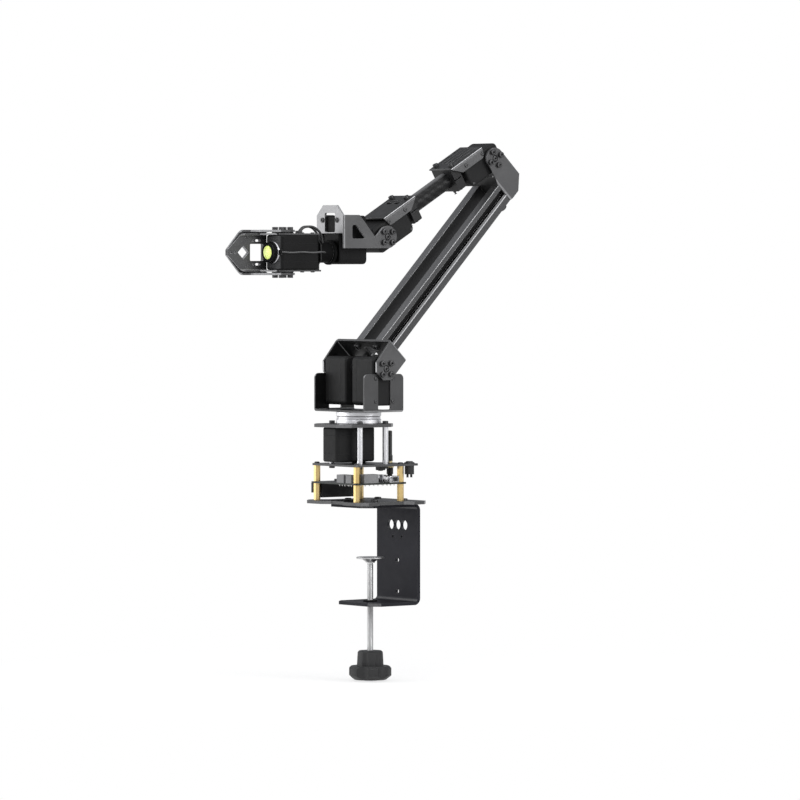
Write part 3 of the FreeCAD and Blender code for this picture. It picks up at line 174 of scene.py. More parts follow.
def place(tree, stretch=(1, 1, 1), turn=(0, 0, 0), centre=(0, 0, 0)):
    """Object coordinates, moved to a centre, turned and stretched."""
    at = add(tree, "ShaderNodeTexCoord").outputs["Object"]
    if any(centre):
        at = add(tree, "ShaderNodeVectorMath", {0: at, 1: centre}, operation="SUBTRACT").outputs["Vector"]
    if any(turn):
        at = add(tree, "ShaderNodeVectorRotate", {"Vector": at, "Rotation": turn},
                 rotation_type="EULER_XYZ").outputs["Vector"]
    return add(tree, "ShaderNodeVectorMath", {0: at, 1: stretch}, operation="MULTIPLY").outputs["Vector"]


def noise(tree, at, scale, detail=3.0):
    return add(tree, "ShaderNodeTexNoise", {"Vector": at, "Scale": scale, "Detail": detail,
                                            "Roughness": 0.55}).outputs["Fac"]


def math_node(tree, operation, first, second=0.0):
    return add(tree, "ShaderNodeMath", {0: first, 1: second}, operation=operation).outputs["Value"]


def spread(tree, value, from_low, from_high, to_low, to_high):
    return add(tree, "ShaderNodeMapRange", {"Value": value, "From Min": from_low, "From Max": from_high,
                                            "To Min": to_low, "To Max": to_high}).outputs["Result"]


def shades(tree, value, *stops):
    """Colour ramp from (position, colour) stops."""
    ramp = add(tree, "ShaderNodeValToRGB", {"Fac": value})
    for i, (position, colour) in enumerate(stops):
        stop = ramp.color_ramp.elements[i] if i < 2 else ramp.color_ramp.elements.new(position)
        stop.position = position
        stop.color = tuple(colour) + (1.0,)
    return ramp.outputs["Color"]


def mixed(tree, share, first, second):
    mix = add(tree, "ShaderNodeMix", {0: share, 6: first, 7: second}, data_type="RGBA")
    return mix.outputs[2]


def grey(level, cool=1.02):
    return (level, level, level * cool)


def tint(level):
    return grey(level) + (1.0,)


def bump(tree, height, strength, depth, normal=None):
    inputs = {"Height": height, "Strength": strength, "Distance": depth}
    if normal is not None:
        inputs["Normal"] = normal
    return add(tree, "ShaderNodeBump", inputs).outputs["Normal"]


def soft_edges(tree, radius):
    """Normal rounded over the piece's edges, and how far each point lies on such an edge."""
    rounded = add(tree, "ShaderNodeBevel", {"Radius": radius}, samples=6).outputs["Normal"]
    flat = add(tree, "ShaderNodeNewGeometry").outputs["Normal"]
    along = add(tree, "ShaderNodeVectorMath", {0: rounded, 1: flat}, operation="DOT_PRODUCT").outputs["Value"]
    return rounded, spread(tree, along, 0.995, 0.80, 0.0, 1.0)


def looking(tree, tilt):
    """How far a face looks along each axis of a link tilted about Y."""
    normal = add(tree, "ShaderNodeTexCoord").outputs["Normal"]
    if tilt:
        normal = add(tree, "ShaderNodeVectorRotate", {"Vector": normal, "Rotation": (0, tilt, 0)},
                     rotation_type="EULER_XYZ").outputs["Vector"]
    parts = add(tree, "ShaderNodeSeparateXYZ", {0: normal})
    return [math_node(tree, "ABSOLUTE", parts.outputs[axis]) for axis in "XYZ"]


def looking_along(tree, tilt, axis):
    """The faces that look along one axis of a tilted link."""
    return spread(tree, looking(tree, tilt)[axis], 0.7, 0.95, 0.0, 1.0)


def facing_in(tree):
    """Whether a face of a folded sheet looks in towards the part's middle plane."""
    coords = add(tree, "ShaderNodeTexCoord")
    side = add(tree, "ShaderNodeSeparateXYZ", {0: coords.outputs["Object"]}).outputs["Y"]
    way = add(tree, "ShaderNodeSeparateXYZ", {0: coords.outputs["Normal"]}).outputs["Y"]
    return spread(tree, math_node(tree, "MULTIPLY", side, way), -4.0 * mm, -8.0 * mm, 0.0, 1.0)


def off_square(tree, tilt, start, full):
    """How far a face looks away from all three axes of a tilted link: bends, bevels and rims."""
    most = 0.0
    for share in looking(tree, tilt):
        most = math_node(tree, "MAXIMUM", most, share)
    return spread(tree, most, start, full, 0.0, 1.0)


def uneven_gloss(tree, shader, pattern, glossy, dull):
    """Roughness that follows a pattern between two levels."""
    tree.links.new(spread(tree, pattern, 0.25, 0.75, glossy, dull), shader.inputs["Roughness"])


def coated_metal(name, dark, light, edge, metallic, roughness, grain, edge_r=0.35 * mm, tilt=None, bend=0.3,
                 narrow=False, shine=0.5, cool=1.02, front=None, roof=None, inside=None, front_above=None,
                 dark_behind=None):
    """Black coated metal: faint cloudy tone, fine orange-peel grain; edges painted lighter, partly as abraded coat
    and partly as painted highlight; bends painted lighter as painted highlight; front, roof, inside and
    dark_behind paint light and shade into faces by the way they look or where they lie.
    """
    material, tree, shader = blank_finish(name, metallic, roughness)
    shader.inputs["Specular IOR Level"].default_value = shine
    at = place(tree)
    clouds = noise(tree, at, 38.0, 4.0)
    peel = noise(tree, at, 2600.0, 2.0)
    rounded, on_edge = soft_edges(tree, edge_r)
    tone = shades(tree, clouds, (0.3, grey(dark, cool)), (0.7, grey(light, cool)))
    spot = add(tree, "ShaderNodeSeparateXYZ", {0: at})
    # Painted light and shade: faces that look along the link's X (front) or Z (roof) take a tone of their own,
    # lighter or darker than the coat by the level given, for how light falls on them; front_above keeps the front
    # tone to faces above a height.
    for axis, level in ((0, front), (2, roof)):
        if level is not None:
            share = looking_along(tree, tilt, axis)
            if front_above is not None:
                above = spread(tree, spot.outputs["Z"], front_above - 0.3 * mm, front_above, 0.0, 1.0)
                share = math_node(tree, "MULTIPLY", share, above)
            tone = mixed(tree, share, tone, tint(level))
    # Painted shade on the faces that look in towards the part's middle plane.
    if inside is not None:
        tone = mixed(tree, facing_in(tree), tone, tint(inside))
    # Edges painted lighter in patches, partly as abraded coat and partly as painted highlight.
    wear_and_highlight = spread(tree, noise(tree, at, 420.0), 0.3, 0.7, 0.6, 1.0)
    tone = mixed(tree, math_node(tree, "MULTIPLY", on_edge, wear_and_highlight), tone, tint(edge))
    # Painted highlight along bends, bevels and rims: faces that look away from the link's axes are painted lighter
    # in patches.
    if tilt is not None:
        bent = off_square(tree, tilt, 0.79, 0.72) if narrow else off_square(tree, tilt, 0.97, 0.84)
        tone = mixed(tree, math_node(tree, "MULTIPLY", bent, wear_and_highlight), tone, tint(bend))
    # Painted shade: the part of the piece behind a plane across X is painted nearly black.
    if dark_behind is not None:
        behind = spread(tree, spot.outputs["X"], dark_behind, dark_behind + mm, 1.0, 0.0)
        tone = mixed(tree, behind, tone, tint(0.005))
    tree.links.new(tone, shader.inputs["Base Color"])
    uneven_gloss(tree, shader, noise(tree, at, 150.0), roughness - 0.06, roughness + 0.06)
    tree.links.new(bump(tree, peel, grain, 0.05 * mm, rounded), shader.inputs["Normal"])
    return material


def coated_sheet(name, dark, light, edge, tilt, bend, **shading):
    """Folded sheet in the arm's satin coat, its bends painted lighter as painted highlight; tilt is that of its
    link.
    """
    return coated_metal(name, dark, light, edge, metallic=0.6, roughness=0.42, grain=0.10, tilt=tilt,
                        bend=bend, **shading)


def moulded_plastic(name, dark, light, roughness, grain, edge=None, shine=0.5, front=None):
    """Moulded plastic with spark-etched grain; front paints the faces that look along X a tone of their own,
    painted light above the plastic's tone and painted shade below it, and its edges are painted lighter as painted
    highlight.
    """
    material, tree, shader = blank_finish(name, 0.0, roughness)
    shader.inputs["Specular IOR Level"].default_value = shine
    at = place(tree)
    rounded, on_edge = soft_edges(tree, 0.3 * mm)
    tone = shades(tree, noise(tree, at, 60.0, 4.0), (0.3, dark), (0.7, light))
    # Painted light and shade: faces that look along X take the front tone.
    if front is not None:
        tone = mixed(tree, looking_along(tree, 0.0, 0), tone, tint(front))
    # Painted highlight: the edges are painted lighter.
    edge = edge or tuple(min(1.0, c * 2.2 + 0.02) for c in light)
    share = math_node(tree, "MULTIPLY", on_edge, 0.6)
    tree.links.new(mixed(tree, share, tone, edge + (1.0,)), shader.inputs["Base Color"])
    uneven_gloss(tree, shader, noise(tree, at, 240.0), roughness - 0.07, roughness + 0.07)
    etched = add(tree, "ShaderNodeTexVoronoi", {"Vector": at, "Scale": 2400.0}).outputs["Distance"]
    tree.links.new(bump(tree, etched, grain, 0.05 * mm, rounded), shader.inputs["Normal"])
    return material


def bare_metal(name, dark, light, roughness, stretch, edge_r=0.25 * mm, marks=0.10):
    """Bare metal with fine tool lines drawn out along one direction, its edges painted lighter as painted
    highlight.
    """
    material, tree, shader = blank_finish(name, 1.0, roughness)
    lines = noise(tree, place(tree, stretch), 900.0)
    clouds = noise(tree, place(tree), 55.0, 4.0)
    rounded, on_edge = soft_edges(tree, edge_r)
    tone = shades(tree, clouds, (0.3, dark), (0.7, light))
    # Painted highlight: the edges are painted lighter.
    bright = tuple(min(1.0, c * 1.25 + 0.05) for c in light) + (1.0,)
    tree.links.new(mixed(tree, math_node(tree, "MULTIPLY", on_edge, 0.7), tone, bright),
                   shader.inputs["Base Color"])
    uneven_gloss(tree, shader, lines, roughness - 0.7 * marks, roughness + 0.9 * marks)
    tree.links.new(bump(tree, lines, marks, 0.02 * mm, rounded), shader.inputs["Normal"])
    return material


def turned_metal(name, dark, light, roughness, ring_pitch):
    """Metal turned on a lathe: rings of tool marks round the base's turning axis."""
    material, tree, shader = blank_finish(name, 1.0, roughness)
    at = place(tree)
    parts = add(tree, "ShaderNodeSeparateXYZ", {0: at})
    flat = add(tree, "ShaderNodeCombineXYZ", {0: parts.outputs["X"], 1: parts.outputs["Y"]}).outputs["Vector"]
    out = add(tree, "ShaderNodeVectorMath", {0: flat}, operation="LENGTH").outputs["Value"]
    along = math_node(tree, "ADD", out, parts.outputs["Z"])
    rings = add(tree, "ShaderNodeTexNoise", {"W": along, "Scale": 1.0 / ring_pitch, "Detail": 2.0},
                noise_dimensions="1D").outputs["Fac"]
    rounded = soft_edges(tree, 0.3 * mm)[0]
    tone = shades(tree, noise(tree, at, 70.0), (0.3, dark), (0.7, light))
    tree.links.new(tone, shader.inputs["Base Color"])
    uneven_gloss(tree, shader, rings, roughness - 0.05, roughness + 0.08)
    tree.links.new(bump(tree, rings, 0.12, 0.02 * mm, rounded), shader.inputs["Normal"])
    return material


def carbon_weave():
    """Twill weave wound round the forearm tube, under a satin clear coat, its top and bottom painted lighter as
    painted highlight.
    """
    material, tree, shader = blank_finish("carbon_weave", 0.0, 0.42)
    low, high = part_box("carbon_tube")
    at = place(tree, turn=(0, -forearm_drop, 0), centre=(low + high) / 2)
    parts = add(tree, "ShaderNodeSeparateXYZ", {0: at})
    round_way = math_node(tree, "ARCTAN2", parts.outputs["Y"], parts.outputs["Z"])
    tow = 2.2 * mm
    tube_r = 8.0 * mm
    repeat = 4.0
    above_zero = 1000 * repeat
    across = math_node(tree, "FLOOR", math_node(tree, "MULTIPLY", round_way, tube_r / tow))
    along = math_node(tree, "FLOOR", math_node(tree, "DIVIDE", parts.outputs["X"], tow))
    cell = math_node(tree, "ADD", math_node(tree, "ADD", across, along), above_zero)
    twill = math_node(tree, "FLOOR", math_node(tree, "MODULO", cell, repeat))
    warp = math_node(tree, "LESS_THAN", twill, 1.5)
    fibres = noise(tree, place(tree, (1, 9, 9), (0, -forearm_drop, 0)), 900.0)
    haze = noise(tree, place(tree), 120.0, 5.0)
    tone = shades(tree, haze, (0.3, grey(0.003)), (0.7, grey(0.018)))
    other = shades(tree, fibres, (0.3, grey(0.002)), (0.7, grey(0.010)))
    weave = mixed(tree, warp, tone, other)
    # Painted highlight: faces that look up or down across the tube are painted lighter.
    painted_top_and_bottom_highlight = spread(tree, looking(tree, -forearm_drop)[2], 0.82, 1.0, 0.0, 0.8)
    tree.links.new(mixed(tree, painted_top_and_bottom_highlight, weave, tint(0.13)), shader.inputs["Base Color"])
    tree.links.new(spread(tree, warp, 0.0, 1.0, 0.34, 0.5), shader.inputs["Roughness"])
    tree.links.new(bump(tree, warp, 0.15, 0.05 * mm), shader.inputs["Normal"])
    shader.inputs["Specular IOR Level"].default_value = 0.1
    shader.inputs["Coat Weight"].default_value = 0.05
    shader.inputs["Coat Roughness"].default_value = 0.28
    return material


def drawn_rail():
    """Dark anodised extrusion with lines along its length; faces that look along the link painted lighter as
    painted light, the inside of its slot painted nearly black as painted shade, and its arrises painted pale as
    painted highlight.
    """
    material, tree, shader = blank_finish("drawn_rail", 0.85, 0.36)
    lines = noise(tree, place(tree, (1, 1, 0.01), (0, lean_back, 0)), 900.0, 2.0)
    clouds = noise(tree, place(tree, (1, 1, 0.15), (0, lean_back, 0)), 90.0, 4.0)
    at = place(tree, turn=(0, lean_back, 0), centre=arm.translation)
    parts = add(tree, "ShaderNodeSeparateXYZ", {0: at})
    out = math_node(tree, "ABSOLUTE", parts.outputs["Y"])
    deep = math_node(tree, "SUBTRACT", (rail_apart + rail_wide) / 2, out)

    def away_from(x):
        return math_node(tree, "ABSOLUTE", math_node(tree, "SUBTRACT", parts.outputs["X"], x))

    # Painted shade: mask of the slot's walls and floor, below its bevelled mouth.
    floor_at = slot_bevel + slot_straight
    in_slot = spread(tree, away_from(slot_at), slot_mouth / 2, slot_mouth / 2 + 0.2 * mm, 1.0, 0.0)
    below_bevel = (slot_bevel - 0.2 * mm, slot_bevel + 0.3 * mm)
    above_floor = (floor_at + 0.7 * mm, floor_at + 0.2 * mm)
    for start, full in (below_bevel, above_floor):
        in_slot = math_node(tree, "MULTIPLY", in_slot, spread(tree, deep, start, full, 0.0, 1.0))
    # Painted highlight along the arrises of the outer face, at the rail's front and at one side of the slot's
    # mouth.
    nearest = math_node(tree, "MINIMUM", away_from(slot_at - slot_mouth / 2), away_from(rail_deep / 2))
    painted_arris_highlight = spread(tree, math_node(tree, "MAXIMUM", nearest, deep), 0.2 * mm, 0.5 * mm, 0.42, 0.0)
    on_edge = math_node(tree, "MAXIMUM", soft_edges(tree, 0.4 * mm)[1], painted_arris_highlight)
    # Painted light: faces that look along the link's X take the lighter front tone, the sides the darker one.
    side = shades(tree, clouds, (0.3, grey(0.052)), (0.7, grey(0.068)))
    front = shades(tree, clouds, (0.3, grey(0.145)), (0.7, grey(0.18)))
    tone = mixed(tree, spread(tree, looking(tree, lean_back)[0], 0.6, 0.95, 0.0, 1.0), side, front)
    # Painted shade: the inside of the slot painted nearly black.
    tone = mixed(tree, in_slot, tone, tint(0.004))
    # Painted highlight: edges and arrises painted pale.
    tree.links.new(mixed(tree, on_edge, tone, tint(0.70)), shader.inputs["Base Color"])
    uneven_gloss(tree, shader, lines, 0.34, 0.40)
    tree.links.new(bump(tree, lines, 0.03, 0.02 * mm), shader.inputs["Normal"])
    return material


def board_laminate():
    """Dark solder mask with fine copper runs just showing through it."""
    material, tree, shader = blank_finish("board_laminate", 0.0, 0.34)
    shader.inputs["Specular IOR Level"].default_value = 0.25
    at = place(tree)
    runs = {"Vector": at, "Scale": 260.0, "Color1": tint(0.008), "Color2": tint(0.012),
            "Mortar": (0.02, 0.03, 0.02, 1.0), "Mortar Size": 0.03}
    blocks = add(tree, "ShaderNodeTexBrick", runs, offset=0.35, squash=1.0)
    haze = noise(tree, at, 90.0)
    tone = shades(tree, haze, (0.3, (0.006, 0.010, 0.008)), (0.7, (0.010, 0.016, 0.013)))
    tree.links.new(mixed(tree, 0.5, tone, blocks.outputs["Color"]), shader.inputs["Base Color"])
    uneven_gloss(tree, shader, haze, 0.28, 0.42)
    tree.links.new(bump(tree, blocks.outputs["Fac"], 0.2, 0.04 * mm), shader.inputs["Normal"])
    return material


def glowing_lens():
    """Translucent yellow-green lamp lens, lit softly from inside."""
    material, tree, shader = blank_finish("glowing_lens", 0.0, 0.22)
    low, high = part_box("lamp_lens")
    at = place(tree, centre=(low + high) / 2)
    parts = add(tree, "ShaderNodeSeparateXYZ", {0: at})
    flat = add(tree, "ShaderNodeCombineXYZ", {0: parts.outputs["Y"], 1: parts.outputs["Z"]}).outputs["Vector"]
    out = add(tree, "ShaderNodeVectorMath", {0: flat}, operation="LENGTH").outputs["Value"]
    tone = shades(tree, spread(tree, out, 0.0, 8.0 * mm, 0.0, 1.0), (0.0, (0.76, 0.85, 0.34)),
                  (0.75, (0.70, 0.82, 0.22)), (1.0, (0.45, 0.55, 0.10)))
    tree.links.new(tone, shader.inputs["Base Color"])
    tree.links.new(tone, shader.inputs["Emission Color"])
    shader.inputs["Emission Strength"].default_value = 0.15
    shader.inputs["Subsurface Weight"].default_value = 0.2
    shader.inputs["Subsurface Radius"].default_value = (2 * mm, 2 * mm, 1 * mm)
    facets = add(tree, "ShaderNodeTexVoronoi", {"Vector": at, "Scale": 420.0}).outputs["Distance"]
    tree.links.new(bump(tree, facets, 0.25, 0.2 * mm), shader.inputs["Normal"])
    return material


def soft_rubber(name, level, roughness):
    """Dull rubber with a faint mottle."""
    material, tree, shader = blank_finish(name, 0.0, roughness)
    at = place(tree)
    tone = shades(tree, noise(tree, at, 140.0), (0.3, grey(level * 0.7)), (0.7, grey(level * 1.3)))
    tree.links.new(tone, shader.inputs["Base Color"])
    uneven_gloss(tree, shader, noise(tree, at, 700.0), roughness - 0.1, roughness + 0.1)
    tree.links.new(bump(tree, noise(tree, at, 1800.0), 0.15, 0.04 * mm), shader.inputs["Normal"])
    return material


def lead_with_painted_top_highlight():
    """Thin dark sheath, its upper side painted pale as painted highlight."""
    material, tree, shader = blank_finish("lead_with_painted_top_highlight", 0.0, 0.45)
    at = place(tree)
    normal = add(tree, "ShaderNodeTexCoord").outputs["Normal"]
    up = add(tree, "ShaderNodeSeparateXYZ", {0: normal}).outputs["Z"]
    # Painted highlight: faces that look up are painted pale.
    painted_top_highlight = spread(tree, up, 0.25, 0.55, 0.0, 1.0)
    sheath = shades(tree, noise(tree, at, 140.0), (0.3, grey(0.016)), (0.7, grey(0.026)))
    tree.links.new(mixed(tree, painted_top_highlight, sheath, tint(0.10)), shader.inputs["Base Color"])
    tree.links.new(bump(tree, noise(tree, at, 1800.0), 0.15, 0.04 * mm), shader.inputs["Normal"])
    return material


# edge and bend set how light edges and bends are painted: painted highlight, and on coated metal partly abraded
# coat too.
finishes = {
    "black_sheet": coated_sheet("black_sheet", dark=0.055, light=0.07, edge=0.24, tilt=0.0, bend=0.34),
    "servo_case": moulded_plastic("servo_case", grey(0.008), grey(0.011), roughness=0.50, grain=0.14,
                                  edge=grey(0.045), shine=0.12),
    "black_alloy": coated_metal("black_alloy", dark=0.012, light=0.016, edge=0.10, metallic=0.4,
                                roughness=0.42, grain=0.06, shine=0.3),
    "rail_alloy": drawn_rail(),
    "black_screw": coated_metal("black_screw", dark=0.04, light=0.06, edge=0.3, metallic=0.8,
                                roughness=0.34, grain=0.05, edge_r=0.25 * mm),
    "bright_steel": bare_metal("bright_steel", (0.56, 0.56, 0.56), (0.67, 0.67, 0.67), roughness=0.32,
                               stretch=(1, 1, 6)),
    "bearing_steel": turned_metal("bearing_steel", (0.68, 0.68, 0.70), (0.94, 0.94, 0.96), roughness=0.44,
                                  ring_pitch=0.35 * mm),
    "cage_metal": turned_metal("cage_metal", (0.50, 0.50, 0.52), (0.62, 0.62, 0.64), roughness=0.32,
                               ring_pitch=0.4 * mm),
    "post_alloy": bare_metal("post_alloy", (0.72, 0.72, 0.74), (0.80, 0.80, 0.82), roughness=0.28,
                             stretch=(1, 1, 3), edge_r=0.05 * mm, marks=0.02),
    "standoff_brass": bare_metal("standoff_brass", (0.66, 0.48, 0.20), (0.76, 0.58, 0.28), roughness=0.36,
                                 stretch=(8, 8, 1)),
    "knob_plastic": moulded_plastic("knob_plastic", grey(0.016), grey(0.024), roughness=0.5, grain=0.2,
                                    shine=0.3),
    "board_laminate": board_laminate(),
    "black_moulding": moulded_plastic("black_moulding", grey(0.012), grey(0.018), roughness=0.45, grain=0.12,
                                      shine=0.3),
    "grey_moulding": moulded_plastic("grey_moulding", grey(0.11), grey(0.15), roughness=0.45, grain=0.1,
                                     edge=grey(0.28)),
    "carbon": carbon_weave(),
    "ferrule_metal": bare_metal("ferrule_metal", (0.62, 0.52, 0.30), (0.72, 0.62, 0.38), roughness=0.32,
                                stretch=(1, 1, 8)),
    "button_cap": moulded_plastic("button_cap", grey(0.022), grey(0.03), roughness=0.3, grain=0.05),
    "antenna_rubber": soft_rubber("antenna_rubber", level=0.012, roughness=0.55),
    "lamp_lens": glowing_lens(),
    "cord_rubber": soft_rubber("cord_rubber", level=0.014, roughness=0.45),
}

# Finishes of single nodes, where the photo shows them lighter or darker than their slot
# arm_sheet: roof paints shade on faces that look along the link's Z, inside paints shade on faces turned in, bend
# paints highlight on bends.
arm_sheet = coated_sheet("arm_sheet", dark=0.055, light=0.07, edge=0.24, tilt=lean_back, bend=0.30,
                         roof=0.022, inside=0.008)
# cover_sheet: bend paints a narrow bright highlight on bends, roof paints shade on faces that look along the
# link's Z.
cover_sheet = coated_sheet("cover_sheet", dark=0.065, light=0.08, edge=0.18, tilt=-forearm_drop, bend=0.70,
                           narrow=True, roof=0.022)
# plate_sheet: roof paints shade on faces that look up or down.
plate_sheet = coated_sheet("plate_sheet", dark=0.05, light=0.065, edge=0.16, tilt=0.0, bend=0.16, roof=0.03)
# hand_sheet: dark_behind paints shade on the part behind the back of the hand's web.
hand_sheet = coated_sheet("hand_sheet", dark=0.038, light=0.048, edge=0.22, tilt=0.0, bend=0.34,
                          dark_behind=hand.translation.x + hand_back + web_deep)
# yoke_sheet: inside paints shade on faces turned in.
yoke_sheet = coated_sheet("yoke_sheet", dark=0.040, light=0.052, edge=0.22, tilt=0.0, bend=0.30, inside=0.008)
# head_sheet: front paints light on faces that look along X above the head's foot.
head_sheet = coated_sheet("head_sheet", dark=0.055, light=0.07, edge=0.24, tilt=0.0, bend=0.34, front=0.25,
                          front_above=hand.translation.z + head_foot)
# clamp_paint: bend paints a faint highlight on bends.
clamp_paint = coated_metal("clamp_paint", dark=0.011, light=0.015, edge=0.06, metallic=0.1, roughness=0.52,
                           grain=0.12, tilt=0.0, bend=0.10, shine=0.12, cool=1.3)
# hub_black: edge paints a pale highlight on rims.
hub_black = moulded_plastic("hub_black", grey(0.003), grey(0.005), roughness=0.60, grain=0.12,
                            edge=grey(0.20), shine=0.04)
# gripper_case: front paints light on faces that look along X; roll_case: front paints shade on them.
gripper_case = moulded_plastic("gripper_case", grey(0.005), grey(0.007), roughness=0.50, grain=0.14,
                               edge=grey(0.045), shine=0.08, front=0.05)
roll_case = moulded_plastic("roll_case", grey(0.005), grey(0.007), roughness=0.50, grain=0.14,
                            edge=grey(0.03), shine=0.08, front=0.001)
pad_metal = bare_metal("pad_metal", (0.42, 0.42, 0.42), (0.54, 0.54, 0.54), roughness=0.40, stretch=(1, 1, 6))
own_finish = {
    "shoulder_bracket": arm_sheet,
    "elbow_bracket": arm_sheet,
    "elbow_cover": cover_sheet,
    "wrist_cover": cover_sheet,
    "clamp_bracket": clamp_paint,
    "clamp_nut": hub_black,
    "clamp_pad": pad_metal,
    "yoke": yoke_sheet,
    "base_plate": plate_sheet,
    "mid_plate": plate_sheet,
    "top_plate": plate_sheet,
    "hand_frame": hand_sheet,
    "moving_jaw": hand_sheet,
    "roll_hub": hub_black,
    "roll_servo": roll_case,
    "gripper_servo": gripper_case,
    "lamp_housing": hub_black,
    "lamp_lead": lead_with_painted_top_highlight(),
}
slot_of = {row["node"]: row["material_slot"] for row in frame["record"]["subparts"]}
for name, node in frame["nodes"].items():
    node.data.materials.clear()
    node.data.materials.append(own_finish.get(name, finishes[slot_of[name]]))


# Shaping by hand
smooth_angle = math.radians(32)
flat_angle = math.radians(5)
edge_break = 0.35 * mm
edge_round = 0.5 * mm


def nothing_picked():
    if bpy.context.object and bpy.context.object.mode != "OBJECT":
        bpy.ops.object.mode_set(mode="OBJECT")
    bpy.ops.object.select_all(action="DESELECT")


def pick_faces(piece, wanted):
    """In edit mode, select the faces whose outward direction is wanted."""
    bpy.ops.mesh.select_mode(type="FACE")
    bpy.ops.mesh.select_all(action="DESELECT")
    bpy.ops.object.mode_set(mode="OBJECT")
    for side in piece.data.polygons:
        side.select = wanted(side.normal)
    bpy.ops.object.mode_set(mode="EDIT")


def tops(out):
    return out.z > 0.9


def bottoms(out):
    return out.z < -0.9


def bevelled(offset, segments):
    bpy.ops.mesh.bevel(offset=offset, segments=segments, affect="EDGES")


def rounded_rim(piece, wanted, offset, segments):
    """Round the edges of the wanted faces."""
    pick_faces(piece, wanted)
    bevelled(offset, segments)


def pushed(step):
    bpy.ops.mesh.extrude_region_move(TRANSFORM_OT_translate={"value": step})


def stepped(piece, wanted, inset, step):
    """Draw the wanted faces in by an inset, then push them out or in by a step."""
    pick_faces(piece, wanted)
    bpy.ops.mesh.inset(thickness=inset)
    pushed(step)


def drum(radius, low, high, sides=32):
    """Upright round or many-sided blank, left in edit mode."""
    nothing_picked()
    bpy.ops.mesh.primitive_cylinder_add(vertices=sides, radius=radius, depth=high - low,
                                        location=(0, 0, (low + high) / 2))
    bpy.ops.object.transform_apply(location=True, rotation=True, scale=True)
    blank = bpy.context.object
    bpy.ops.object.mode_set(mode="EDIT")
    return blank


def block(low, high):
    """Square blank between two corners, left in edit mode."""
    nothing_picked()
    low, high = Vector(low), Vector(high)
    bpy.ops.mesh.primitive_cube_add(size=1, location=(low + high) / 2, scale=high - low)
    bpy.ops.object.transform_apply(location=True, rotation=True, scale=True)
    blank = bpy.context.object
    bpy.ops.object.mode_set(mode="EDIT")
    return blank


def carved(piece, cutter):
    """Cut one blank out of a piece."""
    nothing_picked()
    cut = piece.modifiers.new("cut", "BOOLEAN")
    cut.operation = "DIFFERENCE"
    cut.object = cutter
    bpy.context.view_layer.objects.active = piece
    piece.select_set(True)
    bpy.ops.object.modifier_apply(modifier=cut.name)
    bpy.data.objects.remove(cutter)
    return piece


def copies(model, places):
    """Copies of a model with a mesh of their own, one at each place; the model itself goes."""
    nothing_picked()
    made = []
    for spot in places:
        mesh = model.data.copy()
        mesh.transform(spot)
        copy = bpy.data.objects.new(model.name, mesh)
        bpy.context.scene.collection.objects.link(copy)
        made.append(copy)
    bpy.data.objects.remove(model)
    return made


def dressed(name, parts, body, slot, *nodes, finish=None, angle=smooth_angle):
    """Parts joined to one piece on a body, in a slot's finish or its own; it may stand for nodes."""
    nothing_picked()
    for part in parts:
        part.select_set(True)
    bpy.context.view_layer.objects.active = parts[0]
    if len(parts) > 1:
        bpy.ops.object.join()
    piece = bpy.context.object
    piece.name = name
    piece.data.name = name
    piece.data.materials.clear()
    piece.data.materials.append(finish or finishes[slot])
    bpy.ops.object.shade_smooth_by_angle(angle=angle)
    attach(piece, body)
    if nodes:
        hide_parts(*nodes)
    return piece


# Screws
def socket_screw(head_r, head_h, round_off, key_r, shank_r, shank_long):
    """Screw standing on the origin: rounded head, six-sided key socket, shank below."""
    screw = drum(head_r, 0, head_h)
    stepped(screw, bottoms, head_r - shank_r, (0, 0, -shank_long))
    rounded_rim(screw, tops, round_off, 3)
    key_floor = 0.4 * head_h
    return carved(screw, drum(key_r, key_floor, head_h + mm, sides=6))


def cap_screw(shank_long):
    return socket_screw(head_r=2.7 * mm, head_h=2.6 * mm, round_off=0.35 * mm, key_r=1.35 * mm,
                        shank_r=1.5 * mm, shank_long=shank_long)


def rail_bolt():
    return socket_screw(head_r=3.4 * mm, head_h=2.6 * mm, round_off=0.4 * mm, key_r=1.7 * mm,
                        shank_r=2.0 * mm, shank_long=12.0 * mm)


def middle_screw():
    return socket_screw(head_r=2.9 * mm, head_h=2.4 * mm, round_off=0.7 * mm, key_r=1.3 * mm,
                        shank_r=1.5 * mm, shank_long=0.4 * mm)


def button_screw(head_r, head_h, shank_long=1.0 * mm):
    """Low round screw whose rounding, key and shank go with its head."""
    return socket_screw(head_r, head_h, round_off=0.6 * head_h, key_r=0.45 * head_r, shank_r=0.5 * head_r,
                        shank_long=shank_long)


def low_screw():
    return button_screw(head_r=1.9 * mm, head_h=0.85 * mm)


def screw_set(name, screw, places, body, *nodes):
    """Copies of one screw, joined to one piece."""
    dressed(name, copies(screw, places), body, "black_screw", *nodes)


def horn_ring(start):
    """Offsets of a horn's four screws from its axis."""
    angles = [start + i * math.pi / 2 for i in range(4)]
    return [(horn_pitch * math.cos(a), horn_pitch * math.sin(a)) for a in angles]


def fork_ring(link, x, z, out, start):
    """Places of the screws of two horns on both cheeks of a fork whose axis runs along Y."""
    return [facing(link, (x + across, side * out, z + up), (0, side, 0)) for side in (1, -1)
            for across, up in horn_ring(start)]


def jaw_ring(start):
    """Places of the screws of two horns on both arms of the jaw, whose axis runs along Z."""
    return [facing(grip, (gripper_axis + along, across, side * fork_out), (0, 0, side)) for side in (1, -1)
            for along, across in horn_ring(start)]


def rail_bolt_places():
    """Places of the bolts in both ends of the two rails."""
    places = []
    for x in (-rail_bolt_pitch / 2, rail_bolt_pitch / 2):
        for y in (-rail_apart / 2, rail_apart / 2):
            places.append(facing(arm, (x, y, shoulder_web - fork_sheet), (0, 0, -1)))
            places.append(facing(arm, (x, y, rail_end + fork_sheet), (0, 0, 1)))
    return places


